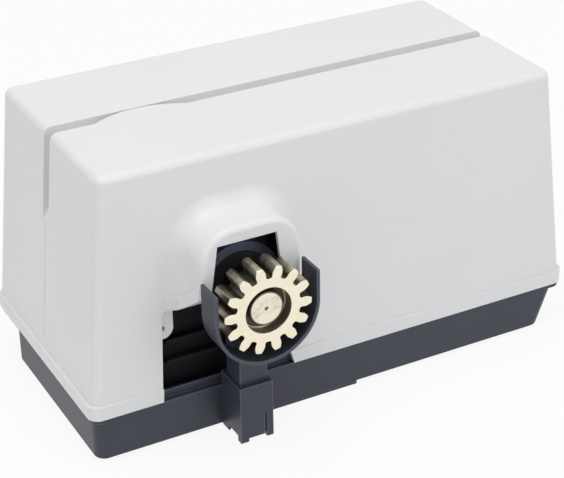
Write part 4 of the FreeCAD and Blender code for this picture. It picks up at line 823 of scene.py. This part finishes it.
def stator_windings():
    """A core ring and its loops at each end of the stator's stack."""
    stack_low, stack_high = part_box("stator_core")
    low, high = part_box("stator_windings")
    reach = stack_low.x - low.x
    outer = (high.z - low.z) / 2
    ring_depth, wire = 0.0105, 0.0026
    inner = outer - ring_depth
    mesh = bmesh.new()
    for end in (-1, 1):
        face = stack_high.x if end > 0 else stack_low.x
        half = bmesh.new()
        spun(half, [(0.0, inner), (reach * 0.5, inner), (reach * 0.6, inner + 0.002),
                    (reach * 0.6, outer - 0.003), (reach * 0.45, outer - 0.001), (0.0, outer - 0.001)],
             48)
        for place in range(LOOPS):
            winding_loop(half, (inner + outer) / 2, reach * 0.55, wire,
                         2 * math.pi * place / LOOPS)
        turn = Matrix.Identity(4) if end > 0 else Matrix.Rotation(math.pi, 4, "Z")
        bmesh.ops.transform(half, matrix=Matrix.Translation((face - motor_line.x, 0, 0)) @ turn,
                            verts=half.verts)
        add_into(mesh, half)
    return finished_piece(mesh, "stator_windings_form", "X", motor_line, "copper_winding", "root",
                          ("stator_windings",))


stator_windings()
print("windings with", LOOPS, "loops at each end")

# %% [markdown]
# ## Capacitors
#
# Both capacitors are drawn aluminium cans. The small one on the board has a crimp near its foot,
# where the rubber bung is squeezed in. The big one by the motor has a rolled rim at one end and
# two blade terminals. Each can is one spun section, so the crimp and the rim are only a few more
# points in it.

# %% Capacitors
def board_capacitor():
    """The upright can on the board, with its crimp and a shallow dish in its top."""
    low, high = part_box("smoothing_capacitor")
    radius, tall = (high.x - low.x) / 2, high.z - low.z
    crimp = tall * 0.14
    mesh = bmesh.new()
    spun(mesh, [(0.0, 0.0), (0.0, radius * 0.92), (0.0006, radius), (crimp - 0.001, radius),
                (crimp, radius * 0.86), (crimp + 0.001, radius), (tall - 0.0012, radius),
                (tall - 0.0003, radius * 0.93), (tall, radius * 0.84), (tall - 0.0004, radius * 0.8),
                (tall - 0.0004, 0.0)], 48)
    place = Vector(((low.x + high.x) / 2, (low.y + high.y) / 2, low.z))
    return finished_piece(mesh, "smoothing_capacitor_form", "Z", place, "capacitor_can", "root",
                          ("smoothing_capacitor",))


def run_capacitor():
    """The can that lies by the motor, with its rolled rim and two blades."""
    low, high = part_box("run_capacitor")
    radius, length = (high.z - low.z) / 2, high.x - low.x
    mesh = bmesh.new()
    spun(mesh, [(0.0, 0.0), (0.0, radius * 0.9), (0.0012, radius), (length * 0.93, radius),
                (length * 0.935, radius * 0.97), (length * 0.95, radius * 0.97),
                (length * 0.955, radius), (length * 0.97, radius), (length * 0.97, radius * 0.93),
                (length * 0.955, radius * 0.9), (length * 0.955, 0.0)], 64)
    for side in (-1, 1):
        blade = Matrix.Translation((length * 0.978, side * radius * 0.35, 0.0)) \
            @ Matrix.Diagonal((length * 0.044, 0.0008, 0.0063, 1.0))
        bmesh.ops.create_cube(mesh, size=1.0, matrix=blade)
    place = Vector((low.x, (low.y + high.y) / 2, (low.z + high.z) / 2))
    return finished_piece(mesh, "run_capacitor_form", "X", place, "capacitor_can", "root",
                          ("run_capacitor",))


board_capacitor()
run_capacitor()
print("capacitors made")

# %% [markdown]
# ## Stage and light
#
# The floor is pale and the light is a plain studio light: a large soft lamp above, a weaker one
# in front, a faint one at the left and an even sky. To the camera and in reflections the floor
# and the sky look nearly white, but their light on the object stays at a plain level, so that a
# colour renders about as it is written.

# %% Stage
FLOOR_GLOW = 0.9


def white_backdrop_floor():
    """A pale floor that glows white only to the camera and in reflections."""
    finish = Finish("studio_floor", (0.86, 0.86, 0.86), 0.7)
    tree = finish.tree
    rays = finish.add("LightPath", output="Is Camera Ray").socket.node.outputs
    seen = Signal(finish, rays["Is Camera Ray"]) + Signal(finish, rays["Is Glossy Ray"])
    glow = finish.add("Emission", None, {"Color": (1.0, 1.0, 1.0, 1.0), "Strength": 1.0})
    blend = finish.add("MixShader", None, {0: seen * FLOOR_GLOW})
    tree.links.new(finish.shader.outputs[0], blend.socket.node.inputs[1])
    tree.links.new(glow.socket, blend.socket.node.inputs[2])
    tree.links.new(blend.socket, tree.nodes["Material Output"].inputs["Surface"])
    return finish.material


floor_mesh = bmesh.new()
bmesh.ops.create_grid(floor_mesh, x_segments=1, y_segments=1, size=6.0)
floor_data = bpy.data.meshes.new("studio_floor")
floor_mesh.to_mesh(floor_data)
floor_mesh.free()
floor_data.materials.append(white_backdrop_floor())
floor = bpy.data.objects.new("studio_floor", floor_data)
bpy.context.scene.collection.objects.link(floor)


def soft_lamp(name, place, target, width, power, colour):
    """A square area lamp that faces its target."""
    data = bpy.data.lights.new(name, "AREA")
    data.size = width
    data.energy = power
    data.color = colour
    lamp = bpy.data.objects.new(name, data)
    lamp.location = place
    lamp.rotation_euler = (Vector(target) - Vector(place)).to_track_quat("-Z", "Y").to_euler()
    bpy.context.scene.collection.objects.link(lamp)


middle = (Vector(frame_box[0]) + Vector(frame_box[1])) / 2
soft_lamp("overhead", (-0.3, -0.2, 2.0), middle, 1.4, 20.5, (1.0, 0.95, 0.90))
soft_lamp("front_fill", (0.7, -2.0, 1.1), middle, 1.4, 10.4, (0.90, 0.955, 1.0))
soft_lamp("left_fill", (-1.9, -0.3, 0.3), middle, 1.2, 2.6, (0.92, 0.965, 1.0))

world = bpy.data.worlds.new("studio_sky")
world.use_nodes = True
bpy.context.scene.world = world
sky = world.node_tree
ray_kind = sky.nodes.new("ShaderNodeLightPath")
both = sky.nodes.new("ShaderNodeMath")
both.operation = "MAXIMUM"
sky.links.new(ray_kind.outputs["Is Camera Ray"], both.inputs[0])
sky.links.new(ray_kind.outputs["Is Glossy Ray"], both.inputs[1])
level = sky.nodes.new("ShaderNodeMapRange")
sky.links.new(both.outputs[0], level.inputs[0])
level.inputs["To Min"].default_value = 0.50
level.inputs["To Max"].default_value = 1.0
sky.links.new(level.outputs[0], sky.nodes["Background"].inputs["Strength"])
sky.nodes["Background"].inputs["Color"].default_value = (1.0, 1.0, 1.0, 1.0)
print("stage and lamps ready")
